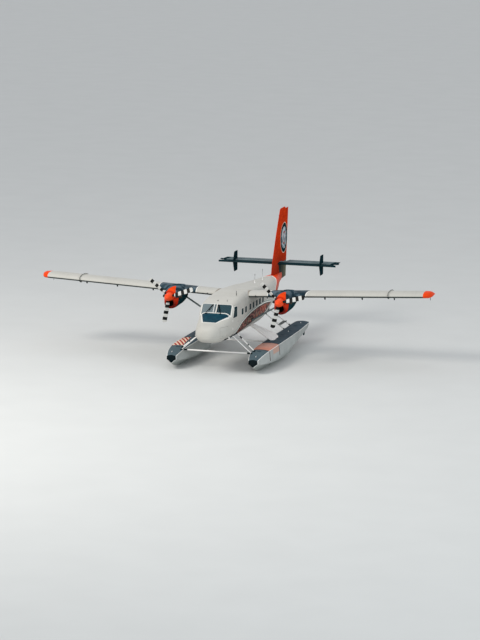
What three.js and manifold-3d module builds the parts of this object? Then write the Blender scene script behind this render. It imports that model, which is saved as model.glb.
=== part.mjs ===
// A twin-turboprop, high-wing commuter floatplane on two straight floats.
// Millimetres, +x to port, +y aft, +z up. Stations (y) and heights (z) in the tables are
// measured from the wing's leading edge on the centreline; the outer group then moves the
// whole aircraft so that it stands on its keels at z = 0 with its box centred on the origin.
import * as THREE from 'three';
import { mergeVertices } from 'three/addons/utils/BufferGeometryUtils.js';
import Module from 'manifold-3d';

const wasm = await Module();
wasm.setup();

// Driving dimensions
const GAP = 0.3;                    // between fixed pieces that touch
const CLEAR = 12;                   // between moving pieces and what they pass
const DATUM_STATION = -3045;        // wing leading edge, from the middle of the length
const DATUM_HEIGHT = 3150;          // wing leading edge above the float keels

const HALF_SPAN = 9905;
const CHORD = 1980;
const WING_THICKNESS = 0.16;
const WING_RISE = 35;               // wing root above the datum height
const DIHEDRAL = Math.tan(2.8 * Math.PI / 180);
const INCIDENCE = 2.5 * Math.PI / 180;
const FLAP_HINGE = { chord: 1420, radius: 78, drop: 150 };
const AILERON_START = 5900;
const AILERON_END = 9420;

const BODY_HALF_WIDTH = 875;
const WALL = 55;
const NOSE_END = -2760;
const COCKPIT_END = -1500;
const CABIN_END = 4600;
const TAIL_END = 9150;
const FLOOR_TOP = -1300;

const ENGINE_X = 2780;
const THRUST_HEIGHT = 50;
const PROP_STATION = -1350;
const PROP_RADIUS = 1295;
const PORT_BLADE_ANGLE = 15;
const STARBOARD_BLADE_ANGLE = 19.5;

const FLOAT_X = 2040;
const KEEL = -DATUM_HEIGHT;
const STEP_STATION = 1600;

const TAILPLANE = { nose: 8330, height: 354, halfSpan: 2860, tip: 3150, hinge: 9170, tail: 9800 };
const RUDDER_FOOT = { y: 9300, z: -520, radius: 66, tail: 10190 };
const RUDDER_HEAD = { y: 9930, z: 3050, radius: 34, tail: 10590 };

// Materials
const paint = (color, roughness = 0.4, metalness = 0) =>
  new THREE.MeshStandardMaterial({ color, roughness, metalness });
const white = paint(0xe6e2da);
const slate = paint(0x3b4652);
const orange = paint(0xe04a2c);
const nearBlack = paint(0x1b2126, 0.5);
const rubber = paint(0x101112, 0.9);
const glass = paint(0x2c4048, 0.1);
const aluminium = paint(0xa9adb0, 0.35, 0.9);
const cloth = paint(0x6f6a64, 0.9);
const deckGrey = paint(0x70808c, 0.6);

// Solids: every shape is a closed geometry, joined and cut as a solid, then meshed again
function solid(geometry) {
  const bare = geometry.clone();
  bare.deleteAttribute('normal');
  bare.deleteAttribute('uv');
  const merged = mergeVertices(bare, 0.01);
  const vertProperties = new Float32Array(merged.attributes.position.array);
  const triVerts = new Uint32Array(merged.index.array);
  return new wasm.Manifold(new wasm.Mesh({ numProp: 3, vertProperties, triVerts }));
}

const aircraft = new THREE.Group();
aircraft.position.set(0, DATUM_STATION, DATUM_HEIGHT);

function add(name, shape, material, at = [0, 0, 0]) {
  const { vertProperties, triVerts } = shape.getMesh();
  const geometry = new THREE.BufferGeometry();
  geometry.setAttribute('position', new THREE.BufferAttribute(new Float32Array(vertProperties), 3));
  geometry.setIndex(new THREE.BufferAttribute(new Uint32Array(triVerts), 1));
  geometry.computeVertexNormals();
  const mesh = new THREE.Mesh(geometry, material);
  mesh.name = name;
  mesh.position.set(...at);
  aircraft.add(mesh);
}

function signedVolume(points, triangles) {
  let volume = 0;
  for (let i = 0; i < triangles.length; i += 3) {
    const [a, b, c] = [points[triangles[i]], points[triangles[i + 1]], points[triangles[i + 2]]];
    volume += a.dot(new THREE.Vector3().crossVectors(b, c));
  }
  return volume;
}

// A skin through rings of equally many points, closed by a fan at each end
function loft(rings) {
  const count = rings[0].length;
  const points = rings.flat();
  const triangles = [];
  for (let i = 0; i < rings.length - 1; i++) {
    for (let j = 0; j < count; j++) {
      const a = i * count + j;
      const b = i * count + (j + 1) % count;
      triangles.push(a, b, b + count, a, b + count, a + count);
    }
  }
  for (const [ring, start, forward] of [[rings[0], 0, false], [rings.at(-1), points.length - count, true]]) {
    const centre = new THREE.Vector3();
    ring.forEach((point) => centre.addScaledVector(point, 1 / count));
    const hub = points.push(centre) - 1;
    for (let j = 0; j < count; j++) {
      const pair = [start + j, start + (j + 1) % count];
      triangles.push(hub, ...(forward ? pair : pair.reverse()));
    }
  }
  if (signedVolume(points, triangles) < 0) triangles.reverse();
  const geometry = new THREE.BufferGeometry().setFromPoints(points);
  geometry.setIndex(triangles);
  return geometry;
}

function box(x0, x1, y0, y1, z0, z1) {
  const geometry = new THREE.BoxGeometry(Math.abs(x1 - x0), y1 - y0, z1 - z0);
  return geometry.translate((x0 + x1) / 2, (y0 + y1) / 2, (z0 + z1) / 2);
}

const sideBox = (side, [x0, x1, ...rest]) => box(side * x0, side * x1, ...rest);

function rod(from, to, radius, sides = 12) {
  const [start, end] = [new THREE.Vector3(...from), new THREE.Vector3(...to)];
  const along = end.clone().sub(start);
  const geometry = new THREE.CylinderGeometry(radius, radius, along.length(), sides);
  const turn = new THREE.Quaternion().setFromUnitVectors(new THREE.Vector3(0, 1, 0), along.clone().normalize());
  geometry.applyQuaternion(turn);
  return geometry.translate(...start.add(end).multiplyScalar(0.5));
}

function grown(geometry, margin = GAP) {
  geometry.computeBoundingBox();
  const size = geometry.boundingBox.getSize(new THREE.Vector3());
  const centre = geometry.boundingBox.getCenter(new THREE.Vector3());
  const scale = size.clone().addScalar(2 * margin).divide(size);
  const copy = geometry.clone();
  return copy.translate(...centre.clone().negate()).scale(...scale).translate(...centre);
}

const joined = (parts) => parts.map(solid).reduce((whole, part) => whole.add(part));
const cutBy = (body, cutters) => cutters.reduce((rest, cutter) => rest.subtract(solid(cutter)), body);

// Fuselage sections: station, half width, top, bottom, top radius, bottom radius
const SECTIONS = [
  [-4500, 130, -1050, -1300, 120, 120],
  [-4470, 225, -960, -1380, 200, 200],
  [-4430, 305, -900, -1435, 260, 260],
  [-4340, 415, -840, -1500, 320, 320],
  [-4230, 500, -790, -1550, 360, 360],
  [-4060, 592, -745, -1585, 395, 385],
  [-3850, 670, -710, -1610, 420, 400],
  [-3300, 780, -560, -1630, 400, 400],
  [-2750, 830, -370, -1630, 320, 390],
  [-2440, 850, 0, -1630, 250, 380],
  [-1800, 873, 130, -1630, 240, 380],
  [-1000, 875, 205, -1630, 250, 380],
  [-200, 875, 260, -1630, 270, 380],
  [600, 875, 270, -1630, 280, 380],
  [1000, 875, 238, -1630, 280, 380],
  [2300, 875, 145, -1630, 260, 380],
  [3000, 865, 90, -1590, 250, 370],
  [4600, 780, -40, -1330, 250, 330],
  [6500, 540, -110, -1050, 230, 260],
  [8100, 290, -140, -820, 150, 150],
  [9150, 95, -180, -620, 80, 80],
];
const CORNER_STEPS = 5;

function roundedRing(y, halfWidth, top, bottom, topRadius, bottomRadius) {
  const corners = [
    [halfWidth - bottomRadius, bottom + bottomRadius, bottomRadius, -90],
    [halfWidth - topRadius, top - topRadius, topRadius, 0],
    [topRadius - halfWidth, top - topRadius, topRadius, 90],
    [bottomRadius - halfWidth, bottom + bottomRadius, bottomRadius, 180],
  ];
  const ring = [];
  for (const [x, z, radius, start] of corners) {
    for (let i = 0; i <= CORNER_STEPS; i++) {
      const angle = (start + 90 * i / CORNER_STEPS) * Math.PI / 180;
      ring.push(new THREE.Vector3(x + radius * Math.cos(angle), y, z + radius * Math.sin(angle)));
    }
  }
  return ring;
}

function sectionAt(table, y) {
  const next = Math.max(1, table.findIndex((row) => row[0] >= y));
  const [low, high] = [table[next - 1], table[next]];
  const share = (y - low[0]) / (high[0] - low[0]);
  return low.map((value, i) => value + share * (high[i] - value));
}

// A stretch of a table of rounded sections, drawn in by inset
function stretch(table, from, to, inset = 0) {
  const stations = [from, ...table.map((row) => row[0]).filter((y) => y > from + 1 && y < to - 1), to];
  const rings = stations.map((y) => {
    const [, width, top, bottom, topRadius, bottomRadius] = sectionAt(table, y);
    return roundedRing(y, width - inset, top - inset, bottom + inset,
      Math.max(20, topRadius - inset), Math.max(20, bottomRadius - inset));
  });
  return loft(rings);
}
const body = (from, to, inset = 0) => stretch(SECTIONS, from, to, inset);

// Wing sections
function airfoilRing(x, chord, thickness, nose = 0, height = 0, margin = 0, steps = 12, incidence = INCIDENCE) {
  const ring = [];
  const half = (t) => 5 * thickness * chord *
    (0.2969 * Math.sqrt(t) - 0.126 * t - 0.3516 * t ** 2 + 0.2843 * t ** 3 - 0.1036 * t ** 4);
  for (let i = 0; i <= 2 * steps; i++) {
    const angle = Math.PI * (i / steps - 1);
    const t = (1 + Math.cos(Math.PI + angle)) / 2;
    const upper = angle < 0;
    const y = t * (chord + 2 * margin) - margin;
    const z = upper ? 1.2 * half(t) + 2 + margin : -0.8 * half(t) - 2 - margin;
    ring.push([y, z]);
  }
  ring.splice(steps, 1);
  return ring.map(([y, z]) => new THREE.Vector3(x,
    nose + y * Math.cos(incidence) + z * Math.sin(incidence),
    height - y * Math.sin(incidence) + z * Math.cos(incidence)));
}
const wingHeight = (x) => WING_RISE + DIHEDRAL * Math.abs(x);

// Round wing tip: distance from the centreline, nose set back, tail drawn in, thickness
const WING_STATIONS = [
  [BODY_HALF_WIDTH + GAP, 0, 0, WING_THICKNESS],
  [9420, 0, 0, WING_THICKNESS],
  [9650, 60, 60, 0.165],
  [9800, 200, 220, 0.18],
  [HALF_SPAN, 480, 520, 0.19],
];
function wingBlank(side, margin = 0) {
  return loft(WING_STATIONS.map(([x, nose, tail, thickness]) => airfoilRing(side * x, CHORD - nose - tail,
    thickness, nose, wingHeight(x) - nose * Math.sin(INCIDENCE), margin)));
}

// A moving surface: a round nose about its hinge, then flat sides to a thin tail
function surfaceRing(place, radius, length, droop = 0, steps = 6) {
  const ring = [];
  for (let i = 0; i <= steps; i++) {
    const angle = Math.PI / 2 + Math.PI * i / steps;
    ring.push([radius * Math.cos(angle), radius * Math.sin(angle)]);
  }
  ring.push([length, -droop - 5], [length, -droop + 5]);
  return ring.map(([y, z]) => place(y, z));
}

const hingeLine = (x) => {
  const y = FLAP_HINGE.chord;
  return { y, z: wingHeight(x) - y * Math.sin(INCIDENCE) + 22 };
};

function trailingSurface(side, from, to) {
  return loft([from, to].map((x) => {
    const hinge = hingeLine(x);
    const length = CHORD - FLAP_HINGE.chord - 5;
    return surfaceRing((y, z) => new THREE.Vector3(side * x, hinge.y + y, hinge.z + z), FLAP_HINGE.radius, length, 40);
  }));
}

// Hinge arms: one plate hangs from the wing, one from the flap, side by side on the flap's hinge line,
// which lies below its nose. Outlines (y, z) are from the hinge line.
const ARM_PLACES = [1350, 4250, 5720];
const ARM_THICKNESS = 16;
const ARM_GAP = 8;
const WING_ARM = [[-440, 40], [-95, 55], [-20, 32], [26, 22], [30, -18], [0, -34], [-60, -30], [-400, 10]];
const FLAP_ARM = [[-30, 8], [-8, 32], [70, 110], [340, 110], [300, 60], [30, -24], [0, -34], [-28, -18]];
function hingeArm(side, x, outline) {
  const hinge = hingeLine(x);
  return loft([0, ARM_THICKNESS].map((offset) => outline.map(([y, z]) =>
    new THREE.Vector3(side * (x + offset), hinge.y + y, hinge.z - FLAP_HINGE.drop + z))));
}

// Wings, with the fence and the open place for the moving surfaces
const FENCE_X = 7820;
function makeWing(side) {
  const spar = FLAP_HINGE.chord - FLAP_HINGE.radius - CLEAR;
  const bay = box(side * 880, side * (AILERON_END + CLEAR), spar, CHORD + 100, -800, 1500);
  const fence = loft([-4, 4].map((offset) =>
    airfoilRing(side * FENCE_X + offset, 1640, 0.32, -60, wingHeight(FENCE_X) + 10)));
  const arms = ARM_PLACES.map((x) => solid(hingeArm(side, x, WING_ARM)));
  return arms.reduce((wing, arm) => wing.add(arm), cutBy(joined([wingBlank(side), fence]), [bay]));
}
const makeFlap = (side) => joined([
  trailingSurface(side, BODY_HALF_WIDTH + 40, AILERON_START - CLEAR),
  ...ARM_PLACES.map((x) => hingeArm(side, x + ARM_THICKNESS + ARM_GAP, FLAP_ARM)),
]);

for (const [side, hand] of [[1, 'port'], [-1, 'starboard']]) {
  add(`wing_${hand}`, makeWing(side), white);
  add(`flap_${hand}`, makeFlap(side), white);
  add(`aileron_${hand}`, solid(trailingSurface(side, AILERON_START, AILERON_END)), white);
}

const wingCentre = (margin = 0) => loft([-1, 1].map((side) =>
  airfoilRing(side * (BODY_HALF_WIDTH + margin), CHORD, WING_THICKNESS, 0, wingHeight(BODY_HALF_WIDTH), margin)));
add('wing_centre', solid(wingCentre()), white);

// Fuselage: nose, cockpit, cabin and tail
const NOSE_DOOR = { centre: [650, -3605, -1120], length: 750, height: 500, yaw: -20 };
const CREW_DOOR = { from: -2660, to: -1750, foot: -1250, waist: -620, head: -40, headFrom: -2360 };
const CREW_WINDOW = { from: -2560, to: -1840, foot: -570, head: -110, headFrom: -2370 };
const CABIN_DOOR = { from: 3190, to: 3950, foot: -1230, waist: -600, head: -150, headFrom: 3190 };
const CABIN_DOOR_WINDOW = { from: 3400, to: 3740, foot: -640, head: -330, headFrom: 3400 };
const CABIN_WINDOWS = [-1080, -480, 300, 880, 1460, 2040, 2620];
const WINDOW = { half: 130, foot: -650, head: -350 };

const DOOR_GAP = 9;
const DOOR_BEVEL = 0.17;           // how far the free edge leans, so that it swings out clear

// A door's outline, with its front edge upright to the waist and then leaning back to the head
function outlineSlab(side, { from, to, foot, waist, head, headFrom }, margin, bevel) {
  const free = (x) => to - margin - bevel * Math.max(0, BODY_HALF_WIDTH - x);
  return loft([300, BODY_HALF_WIDTH, 1000].map((x) => [
    [from + margin, foot + margin], [free(x), foot + margin],
    [free(x), head - margin], [headFrom + margin, head - margin], [from + margin, waist],
  ].map(([y, z]) => new THREE.Vector3(side * x, y, z))));
}
const doorway = (side, door) => outlineSlab(side, door, 0, 0);
const doorBlank = (side, door) => outlineSlab(side, door, DOOR_GAP, DOOR_BEVEL);
const paneHole = (side, pane) => outlineSlab(side, { ...pane, waist: pane.foot + 10 }, 0, 0);
function noseHatch(margin) {
  const { centre, length, height, yaw } = NOSE_DOOR;
  const geometry = new THREE.BoxGeometry(500, length - 2 * margin, height - 2 * margin);
  return geometry.rotateZ(yaw * Math.PI / 180).translate(...centre);
}

const noseSkin = cutBy(solid(body(SECTIONS[0][0], NOSE_END - GAP)), [body(-4250, NOSE_END - 60, 45)]);
add('nose_shell', cutBy(noseSkin, [noseHatch(0)]), white);
add('nose_baggage_door', noseSkin.intersect(solid(noseHatch(DOOR_GAP))), white);

const cockpitSkin = cutBy(solid(body(NOSE_END, COCKPIT_END - GAP)), [body(NOSE_END - 1, COCKPIT_END + 1, WALL)]);
const PANE = { inner: 35, outer: 770, from: -2745, to: -2430, foot: -620, head: 20 };
const windscreenPane = (side) => box(side * PANE.inner, side * PANE.outer, PANE.from, PANE.to, PANE.foot, PANE.head);
const cockpitHoles = [-1, 1].flatMap((side) => [windscreenPane(side), doorway(side, CREW_DOOR)]);
add('cockpit_shell', cutBy(cockpitSkin, cockpitHoles), white);

const paneSheet = cutBy(solid(body(NOSE_END + 1, -2300, WALL + 2)), [body(NOSE_END - 5, -2200, WALL + 10)]);
add('windscreen', paneSheet.intersect(solid(box(-PANE.outer, PANE.outer, NOSE_END, -2400, PANE.foot, 100))), glass);

const cabinSkin = cutBy(solid(body(COCKPIT_END, CABIN_END - GAP)), [
  body(COCKPIT_END - 1, CABIN_END - 60, WALL),
  wingCentre(GAP),
]);
const windowHole = (side, y) =>
  box(side * 700, side * 1000, y - WINDOW.half, y + WINDOW.half, WINDOW.foot, WINDOW.head);
const cabinHoles = [-1, 1].flatMap((side) => [
  ...CABIN_WINDOWS.map((y) => windowHole(side, y)),
  doorway(side, CABIN_DOOR),
]);
add('cabin_shell', cutBy(cabinSkin, cabinHoles), white);
add('tail_cone', cutBy(solid(body(CABIN_END, TAIL_END)), [body(CABIN_END - 1, TAIL_END - 500, 28)]), white);

function door(skin, side, opening, pane) {
  return cutBy(skin.intersect(solid(doorBlank(side, opening))), [paneHole(side, pane)]);
}

for (const [side, hand] of [[1, 'port'], [-1, 'starboard']]) {
  const inner = side * (BODY_HALF_WIDTH - WALL - 8);
  add(`crew_door_${hand}`, door(cockpitSkin, side, CREW_DOOR, CREW_WINDOW), white);
  add(`cabin_door_${hand}`, door(cabinSkin, side, CABIN_DOOR, CABIN_DOOR_WINDOW), white);
  add(`cabin_glazing_${hand}`, solid(box(inner - side * 8, inner, -1280, 2230, -700, -300)), glass);
}

// Inside: floor, panel and seats
const cabinSpace = (inset) => body(-2740, CABIN_END - 80, inset);
add('floor', solid(box(-800, 800, -2700, 4450, FLOOR_TOP - 30, FLOOR_TOP)).intersect(solid(cabinSpace(WALL + 3))), deckGrey);
add('instrument_panel', joined([
  box(-560, 560, -2660, -2520, -760, -450),
  box(-130, 130, -2640, -2300, FLOOR_TOP + GAP, -800),
  box(-130, 130, -2640, -2540, -801, -700),
]), nearBlack);

function seatParts(x0, x1, y) {
  return [
    box(x0, x1, y, y + 450, -960, -850),
    box(x0, x1, y + 400, y + 520, -900, -400),
    box(x0 + 60, x1 - 60, y + 100, y + 300, FLOOR_TOP + GAP, -900),
  ];
}
add('pilot_seat_port', joined(seatParts(170, 640, -2180)), cloth);
add('pilot_seat_starboard', joined(seatParts(-640, -170, -2180)), cloth);
const ROWS = [-1200, -450, 300, 1050, 1800, 2550];
const rail = (x) => box(x - 20, x + 20, ROWS[0], ROWS.at(-1) + 400, FLOOR_TOP + GAP, FLOOR_TOP + 40);
add('passenger_seats_port', joined([...ROWS.flatMap((y) => seatParts(300, 740, y)), rail(420)]), cloth);
add('passenger_seats_starboard', joined([...ROWS.flatMap((y) => seatParts(-740, 0, y)), rail(-320)]), cloth);

// Engines. Nacelle sections as for the fuselage, about the engine's own centre
const NACELLE = [
  [-1180, 270, 330, -560, 230, 250],
  [-1000, 350, 400, -585, 280, 280],
  [-500, 375, 445, -540, 280, 260],
  [0, 370, 445, -490, 260, 240],
  [550, 325, 400, -430, 220, 210],
  [1000, 260, 300, -350, 180, 170],
  [1310, 150, 100, -220, 90, 90],
];
const NACELLE_FRONT = NACELLE[0][0];
const NACELLE_BACK = NACELLE.at(-1)[0];
const nacelleBlank = (side, inset = 0) =>
  stretch(NACELLE, NACELLE_FRONT, NACELLE_BACK, inset).translate(side * ENGINE_X, 0, 0);
const INTAKE = { height: -270, radius: 175 };
const ENGINE = { radius: 235, from: -1080, to: -180 };

function makeNacelle(side) {
  const hollow = stretch(NACELLE, -1140, -120, 40).translate(side * ENGINE_X, 0, 0);
  const mouth = [side * ENGINE_X, -1300, INTAKE.height];
  const throat = [side * ENGINE_X, -1000, INTAKE.height];
  const cutters = [hollow, rod(mouth, throat, INTAKE.radius, 24), wingBlank(side, 1)];
  const pieces = cutBy(solid(nacelleBlank(side)), cutters).decompose();
  return pieces.reduce((largest, piece) => (piece.volume() > largest.volume() ? piece : largest));
}

// Propeller blades: distance from the hub, chord, thickness, pitch in degrees
const BLADE = [
  [150, 110, 70, 50],
  [420, 185, 42, 38],
  [850, 205, 26, 26],
  [PROP_RADIUS - 60, 195, 14, 20],
  [PROP_RADIUS, 150, 10, 20],
];
function bladeRing([reach, chord, thickness, pitch], turn) {
  const ring = [];
  const tilt = pitch * Math.PI / 180;
  for (let i = 0; i < 12; i++) {
    const angle = 2 * Math.PI * i / 12;
    const [across, deep] = [chord / 2 * Math.cos(angle), thickness / 2 * Math.sin(angle)];
    ring.push(new THREE.Vector3(reach,
      across * Math.sin(tilt) + deep * Math.cos(tilt),
      across * Math.cos(tilt) - deep * Math.sin(tilt)).applyAxisAngle(new THREE.Vector3(0, 1, 0), -turn));
  }
  return ring;
}
function makePropeller(firstAngle) {
  const spinner = new THREE.LatheGeometry([
    [0, -420], [50, -405], [115, -330], [170, -200], [198, -60], [205, 150], [0, 150],
  ].map(([r, y]) => new THREE.Vector2(r, y)), 24);
  const blades = [0, 120, 240].map((step) => {
    const turn = (firstAngle + step) * Math.PI / 180;
    return loft(BLADE.map((row) => bladeRing(row, turn)));
  });
  return joined([spinner, ...blades]);
}

const STRUT_FOOT = [BODY_HALF_WIDTH, 640, -1240];
const STRUT_HEAD = [2960, 700, 20];

// A strut of oval section between two points, its long way fore and aft
function ovalStrut(side, from, to, chord, thickness) {
  const ring = ([x, y, z]) => Array.from({ length: 12 }, (_, i) => {
    const angle = 2 * Math.PI * i / 12;
    return new THREE.Vector3(side * (x + thickness / 2 * Math.sin(angle)), y + chord / 2 * Math.cos(angle), z);
  });
  return loft([ring(from), ring(to)]);
}
const extended = (from, to, by) => {
  const [a, b] = [new THREE.Vector3(...from), new THREE.Vector3(...to)];
  const step = b.clone().sub(a).setLength(by);
  return [a.sub(step).toArray(), b.add(step).toArray()];
};
const hull = grown(body(-4400, 9000));

for (const [side, hand, angle] of [[1, 'port', PORT_BLADE_ANGLE], [-1, 'starboard', STARBOARD_BLADE_ANGLE]]) {
  add(`nacelle_${hand}`, makeNacelle(side), slate);
  const hub = [side * ENGINE_X, 0, THRUST_HEIGHT];
  add(`engine_${hand}`, solid(rod([hub[0], ENGINE.from, hub[2]], [hub[0], ENGINE.to, hub[2]], ENGINE.radius, 24)), aluminium);
  add(`propeller_${hand}`, makePropeller(angle), orange, [hub[0], PROP_STATION, hub[2]]);
  const [foot, head] = extended(STRUT_FOOT, STRUT_HEAD, 120);
  const strut = ovalStrut(side, foot, head, 210, 80);
  add(`wing_strut_${hand}`, cutBy(solid(strut), [hull, wingBlank(side, 1), nacelleBlank(side, -1)]), white);
}

// Tail: fin, rudder, tailplane with finlets, elevators
const finRing = (z, nose, tail, thickness) => {
  const ring = airfoilRing(0, tail - nose, thickness, 0, 0, 0, 10, 0);
  return ring.map(({ y, z: across }) => new THREE.Vector3(across, nose + y, z));
};
const tailplaneBlank = (margin = 0) => loft([-TAILPLANE.halfSpan, TAILPLANE.halfSpan].map((x) =>
  airfoilRing(x, 1470, 0.085, TAILPLANE.nose, TAILPLANE.height, margin, 8, 0)));
const TAIL_SPAR = TAILPLANE.hinge - 50 - CLEAR;
const tailplane = cutBy(solid(tailplaneBlank()), [box(-3200, 3200, TAIL_SPAR, 10200, 0, 800)]);

const finBlank = loft([
  finRing(-200, 7330, 10150, 0.052),
  finRing(430, 7500, 10300, 0.05),
  finRing(1890, 8260, 10460, 0.055),
  finRing(3060, 8960, 10580, 0.06),
  finRing(3150, 9100, 10560, 0.04),
]);
// All that lies behind the rudder's hinge line
function hingeSlab(margin) {
  const slope = (RUDDER_HEAD.y - RUDDER_FOOT.y) / (RUDDER_HEAD.z - RUDDER_FOOT.z);
  const front = (z) => RUDDER_FOOT.y + slope * (z - RUDDER_FOOT.z) - RUDDER_FOOT.radius - margin;
  const outline = [[front(-700), -700], [front(3400), 3400], [11200, 3400], [11200, -700]];
  return loft([-400, 400].map((x) => outline.map(([y, z]) => new THREE.Vector3(x, y, z))));
}
const fin = cutBy(solid(finBlank), [hingeSlab(CLEAR), grown(body(6500, TAIL_END, 0)), tailplaneBlank(GAP)]);
add('fin', fin.decompose().reduce((a, b) => (a.volume() > b.volume() ? a : b)), orange);

const rudder = loft([RUDDER_FOOT, RUDDER_HEAD].map(({ y, z, radius, tail }) =>
  surfaceRing((back, across) => new THREE.Vector3(across, y + back, z), radius, tail - y)));
add('rudder', solid(rudder), orange);
add('tailplane', tailplane, slate);

const FINLET = { x: 2300, from: 8250, to: 9080, reach: 520 };
for (const [side, hand] of [[1, 'port'], [-1, 'starboard']]) {
  const { x, from, to, reach } = FINLET;
  const outline = [[from, 0], [from + 230, reach], [to, reach], [to, -reach], [from + 230, -reach]];
  const plate = loft([-9, 9].map((offset) => outline.map(([y, z]) =>
    new THREE.Vector3(side * x + offset, y, TAILPLANE.height + z))));
  add(`finlet_${hand}`, cutBy(solid(plate), [tailplaneBlank(GAP)]), nearBlack);

  const flat = (sx, radius) => surfaceRing((back, up) =>
    new THREE.Vector3(side * sx, TAILPLANE.hinge + back, TAILPLANE.height + 20 + up), radius, TAILPLANE.tail - TAILPLANE.hinge);
  const blade = loft([flat(330, 50), flat(3150, 42)]);
  const horn = loft([TAILPLANE.halfSpan + 20, TAILPLANE.tip].map((sx) => [
    [TAILPLANE.nose + 60, 0], [TAILPLANE.nose + 160, 45], [9200, 50], [9200, -50], [TAILPLANE.nose + 160, -45],
  ].map(([y, z]) => new THREE.Vector3(side * sx, y, TAILPLANE.height + 20 + z))));
  add(`elevator_${hand}`, joined([blade, horn]), slate);
}

// Floats. Sections: station, half width of deck, deck edge, half width of chine, chine, keel
const FLOAT_SECTIONS = [
  [-3300, 215, -2480, 225, -2640, -2800],
  [-3000, 315, -2375, 330, -2690, -2960],
  [-2400, 405, -2270, 435, -2760, -3090],
  [-1700, 440, -2215, 490, -2830, KEEL],
  [-400, 450, -2195, 520, -2890, KEEL],
  [STEP_STATION, 450, -2190, 520, -2900, KEEL],
  [STEP_STATION + 2, 450, -2190, 480, -2780, KEEL + 150],
  [3600, 400, -2190, 400, -2640, -2790],
  [5950, 300, -2150, 290, -2400, -2480],
];
const KEEL_HALF = 30;
function floatRing(side, [y, deckHalf, deck, chineHalf, chine, keel]) {
  return [[-KEEL_HALF, keel], [KEEL_HALF, keel], [chineHalf, chine], [deckHalf, deck],
    [0, deck + 45], [-deckHalf, deck], [-chineHalf, chine]]
    .map(([x, z]) => new THREE.Vector3(side * FLOAT_X + x, y, z));
}
const floatBlank = (side) => loft(FLOAT_SECTIONS.map((row) => floatRing(side, row)));

// Struts between body and floats: foot on the deck, head on the body
const FRONT_STRUTS = [
  { foot: [1740, -2450, -2290], head: [740, -2430, -1420], chord: 130, thickness: 90 },
  { foot: [1800, -2270, -2210], head: [780, -1740, -1450], chord: 260, thickness: 70 },
];
const REAR_STRUTS = [
  { foot: [1600, 4950, -2165], head: [742, 4200, -1250], chord: 120, thickness: 60 },
  { foot: [1600, 3910, -2210], head: [744, 3600, -1380], chord: 120, thickness: 60 },
];
const STRUT_PAD = [1660, 1880, -2540, -2130, -2360, -2165];
const STEP_PLATE = [1240, 1540, 3720, 4860, -1955, -1925];
const BUMPER = { back: -3300 - GAP, front: -3420, half: 230, top: -2480, side: -2630, point: -2800, middle: -2600 };
const SPREADERS = [['front_spreader', -2450, -2250], ['rear_spreader', 1000, -2330]];
const SPREADER_RADIUS = 42;
const SPREADER_END = 1720;

const strutSolid = (side, { foot, head, chord, thickness }, margin = 0) => {
  const [low, high] = extended(foot, head, 150);
  return ovalStrut(side, low, high, chord + 2 * margin, thickness + 2 * margin);
};

// The main strut: a flat tapering leg with a round foot, from the body down to the deck
const MAIN_STRUT = { top: [800, -1480], foot: [1700, -2150], topFrom: 560, topTo: 960, footFrom: 480, footTo: 2200,
  round: 400, thickness: 100, reach: 90 };
function mainStrut(side) {
  const { top, foot, topFrom, topTo, footFrom, footTo, round, thickness, reach } = MAIN_STRUT;
  const down = new THREE.Vector3(side * (foot[0] - top[0]), 0, foot[1] - top[1]);
  const length = down.length() + reach;
  down.normalize();
  const outline = new THREE.Shape();
  outline.moveTo(-reach, topFrom);
  outline.lineTo(length - round, footFrom + 0.3 * round);
  outline.quadraticCurveTo(length, footFrom, length, footFrom + 1.1 * round);
  outline.lineTo(length, footTo - 1.1 * round);
  outline.quadraticCurveTo(length, footTo, length - round, footTo - 0.3 * round);
  outline.lineTo(-reach, topTo);
  const plate = new THREE.ExtrudeGeometry(outline, { depth: thickness, bevelEnabled: false, curveSegments: 6 });
  plate.translate(0, 0, -thickness / 2);
  const across = new THREE.Vector3(0, 1, 0);
  const axes = new THREE.Matrix4().makeBasis(down, across, new THREE.Vector3().crossVectors(down, across));
  return plate.applyMatrix4(axes.setPosition(side * top[0], 0, top[1]));
}

// The bow bumper: a flat-topped block that comes to a point below, with a flat front face
function bumperRing(side, y, share) {
  const { half, top, side: edge, point, middle } = BUMPER;
  return [[-half, top], [half, top], [half, edge], [0, point], [-half, edge]].map(([x, z]) =>
    new THREE.Vector3(side * FLOAT_X + x * share, y, middle + (z - middle) * share));
}

for (const [side, hand] of [[1, 'port'], [-1, 'starboard']]) {
  const skin = grown(floatBlank(side));
  add(`float_${hand}`, solid(floatBlank(side)), deckGrey);
  const { back, front } = BUMPER;
  const rings = [[back, 1], [front + 30, 1], [front, 0.88]].map(([y, share]) => bumperRing(side, y, share));
  add(`bow_bumper_${hand}`, solid(loft(rings)), rubber);

  const frontParts = [...FRONT_STRUTS.map((strut) => strutSolid(side, strut)), sideBox(side, STRUT_PAD)];
  add(`front_strut_${hand}`, cutBy(joined(frontParts), [hull, skin]), white);
  add(`main_strut_${hand}`, cutBy(solid(mainStrut(side)), [hull, skin]), white);
  const rearParts = [...REAR_STRUTS.map((strut) => strutSolid(side, strut)), sideBox(side, STEP_PLATE)];
  add(`rear_strut_${hand}`, cutBy(joined(rearParts), [hull, skin]), white);

  const blade = joined([
    box(side * FLOAT_X - 12, side * FLOAT_X + 12, 6100, 6480, -2900, -2330),
    rod([side * FLOAT_X, 6070, -2560], [side * FLOAT_X, 6070, -2240], 28),
    box(side * FLOAT_X - 12, side * FLOAT_X + 12, 6060, 6110, -2540, -2330),
  ]);
  add(`water_rudder_${hand}`, blade, aluminium);
}

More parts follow.
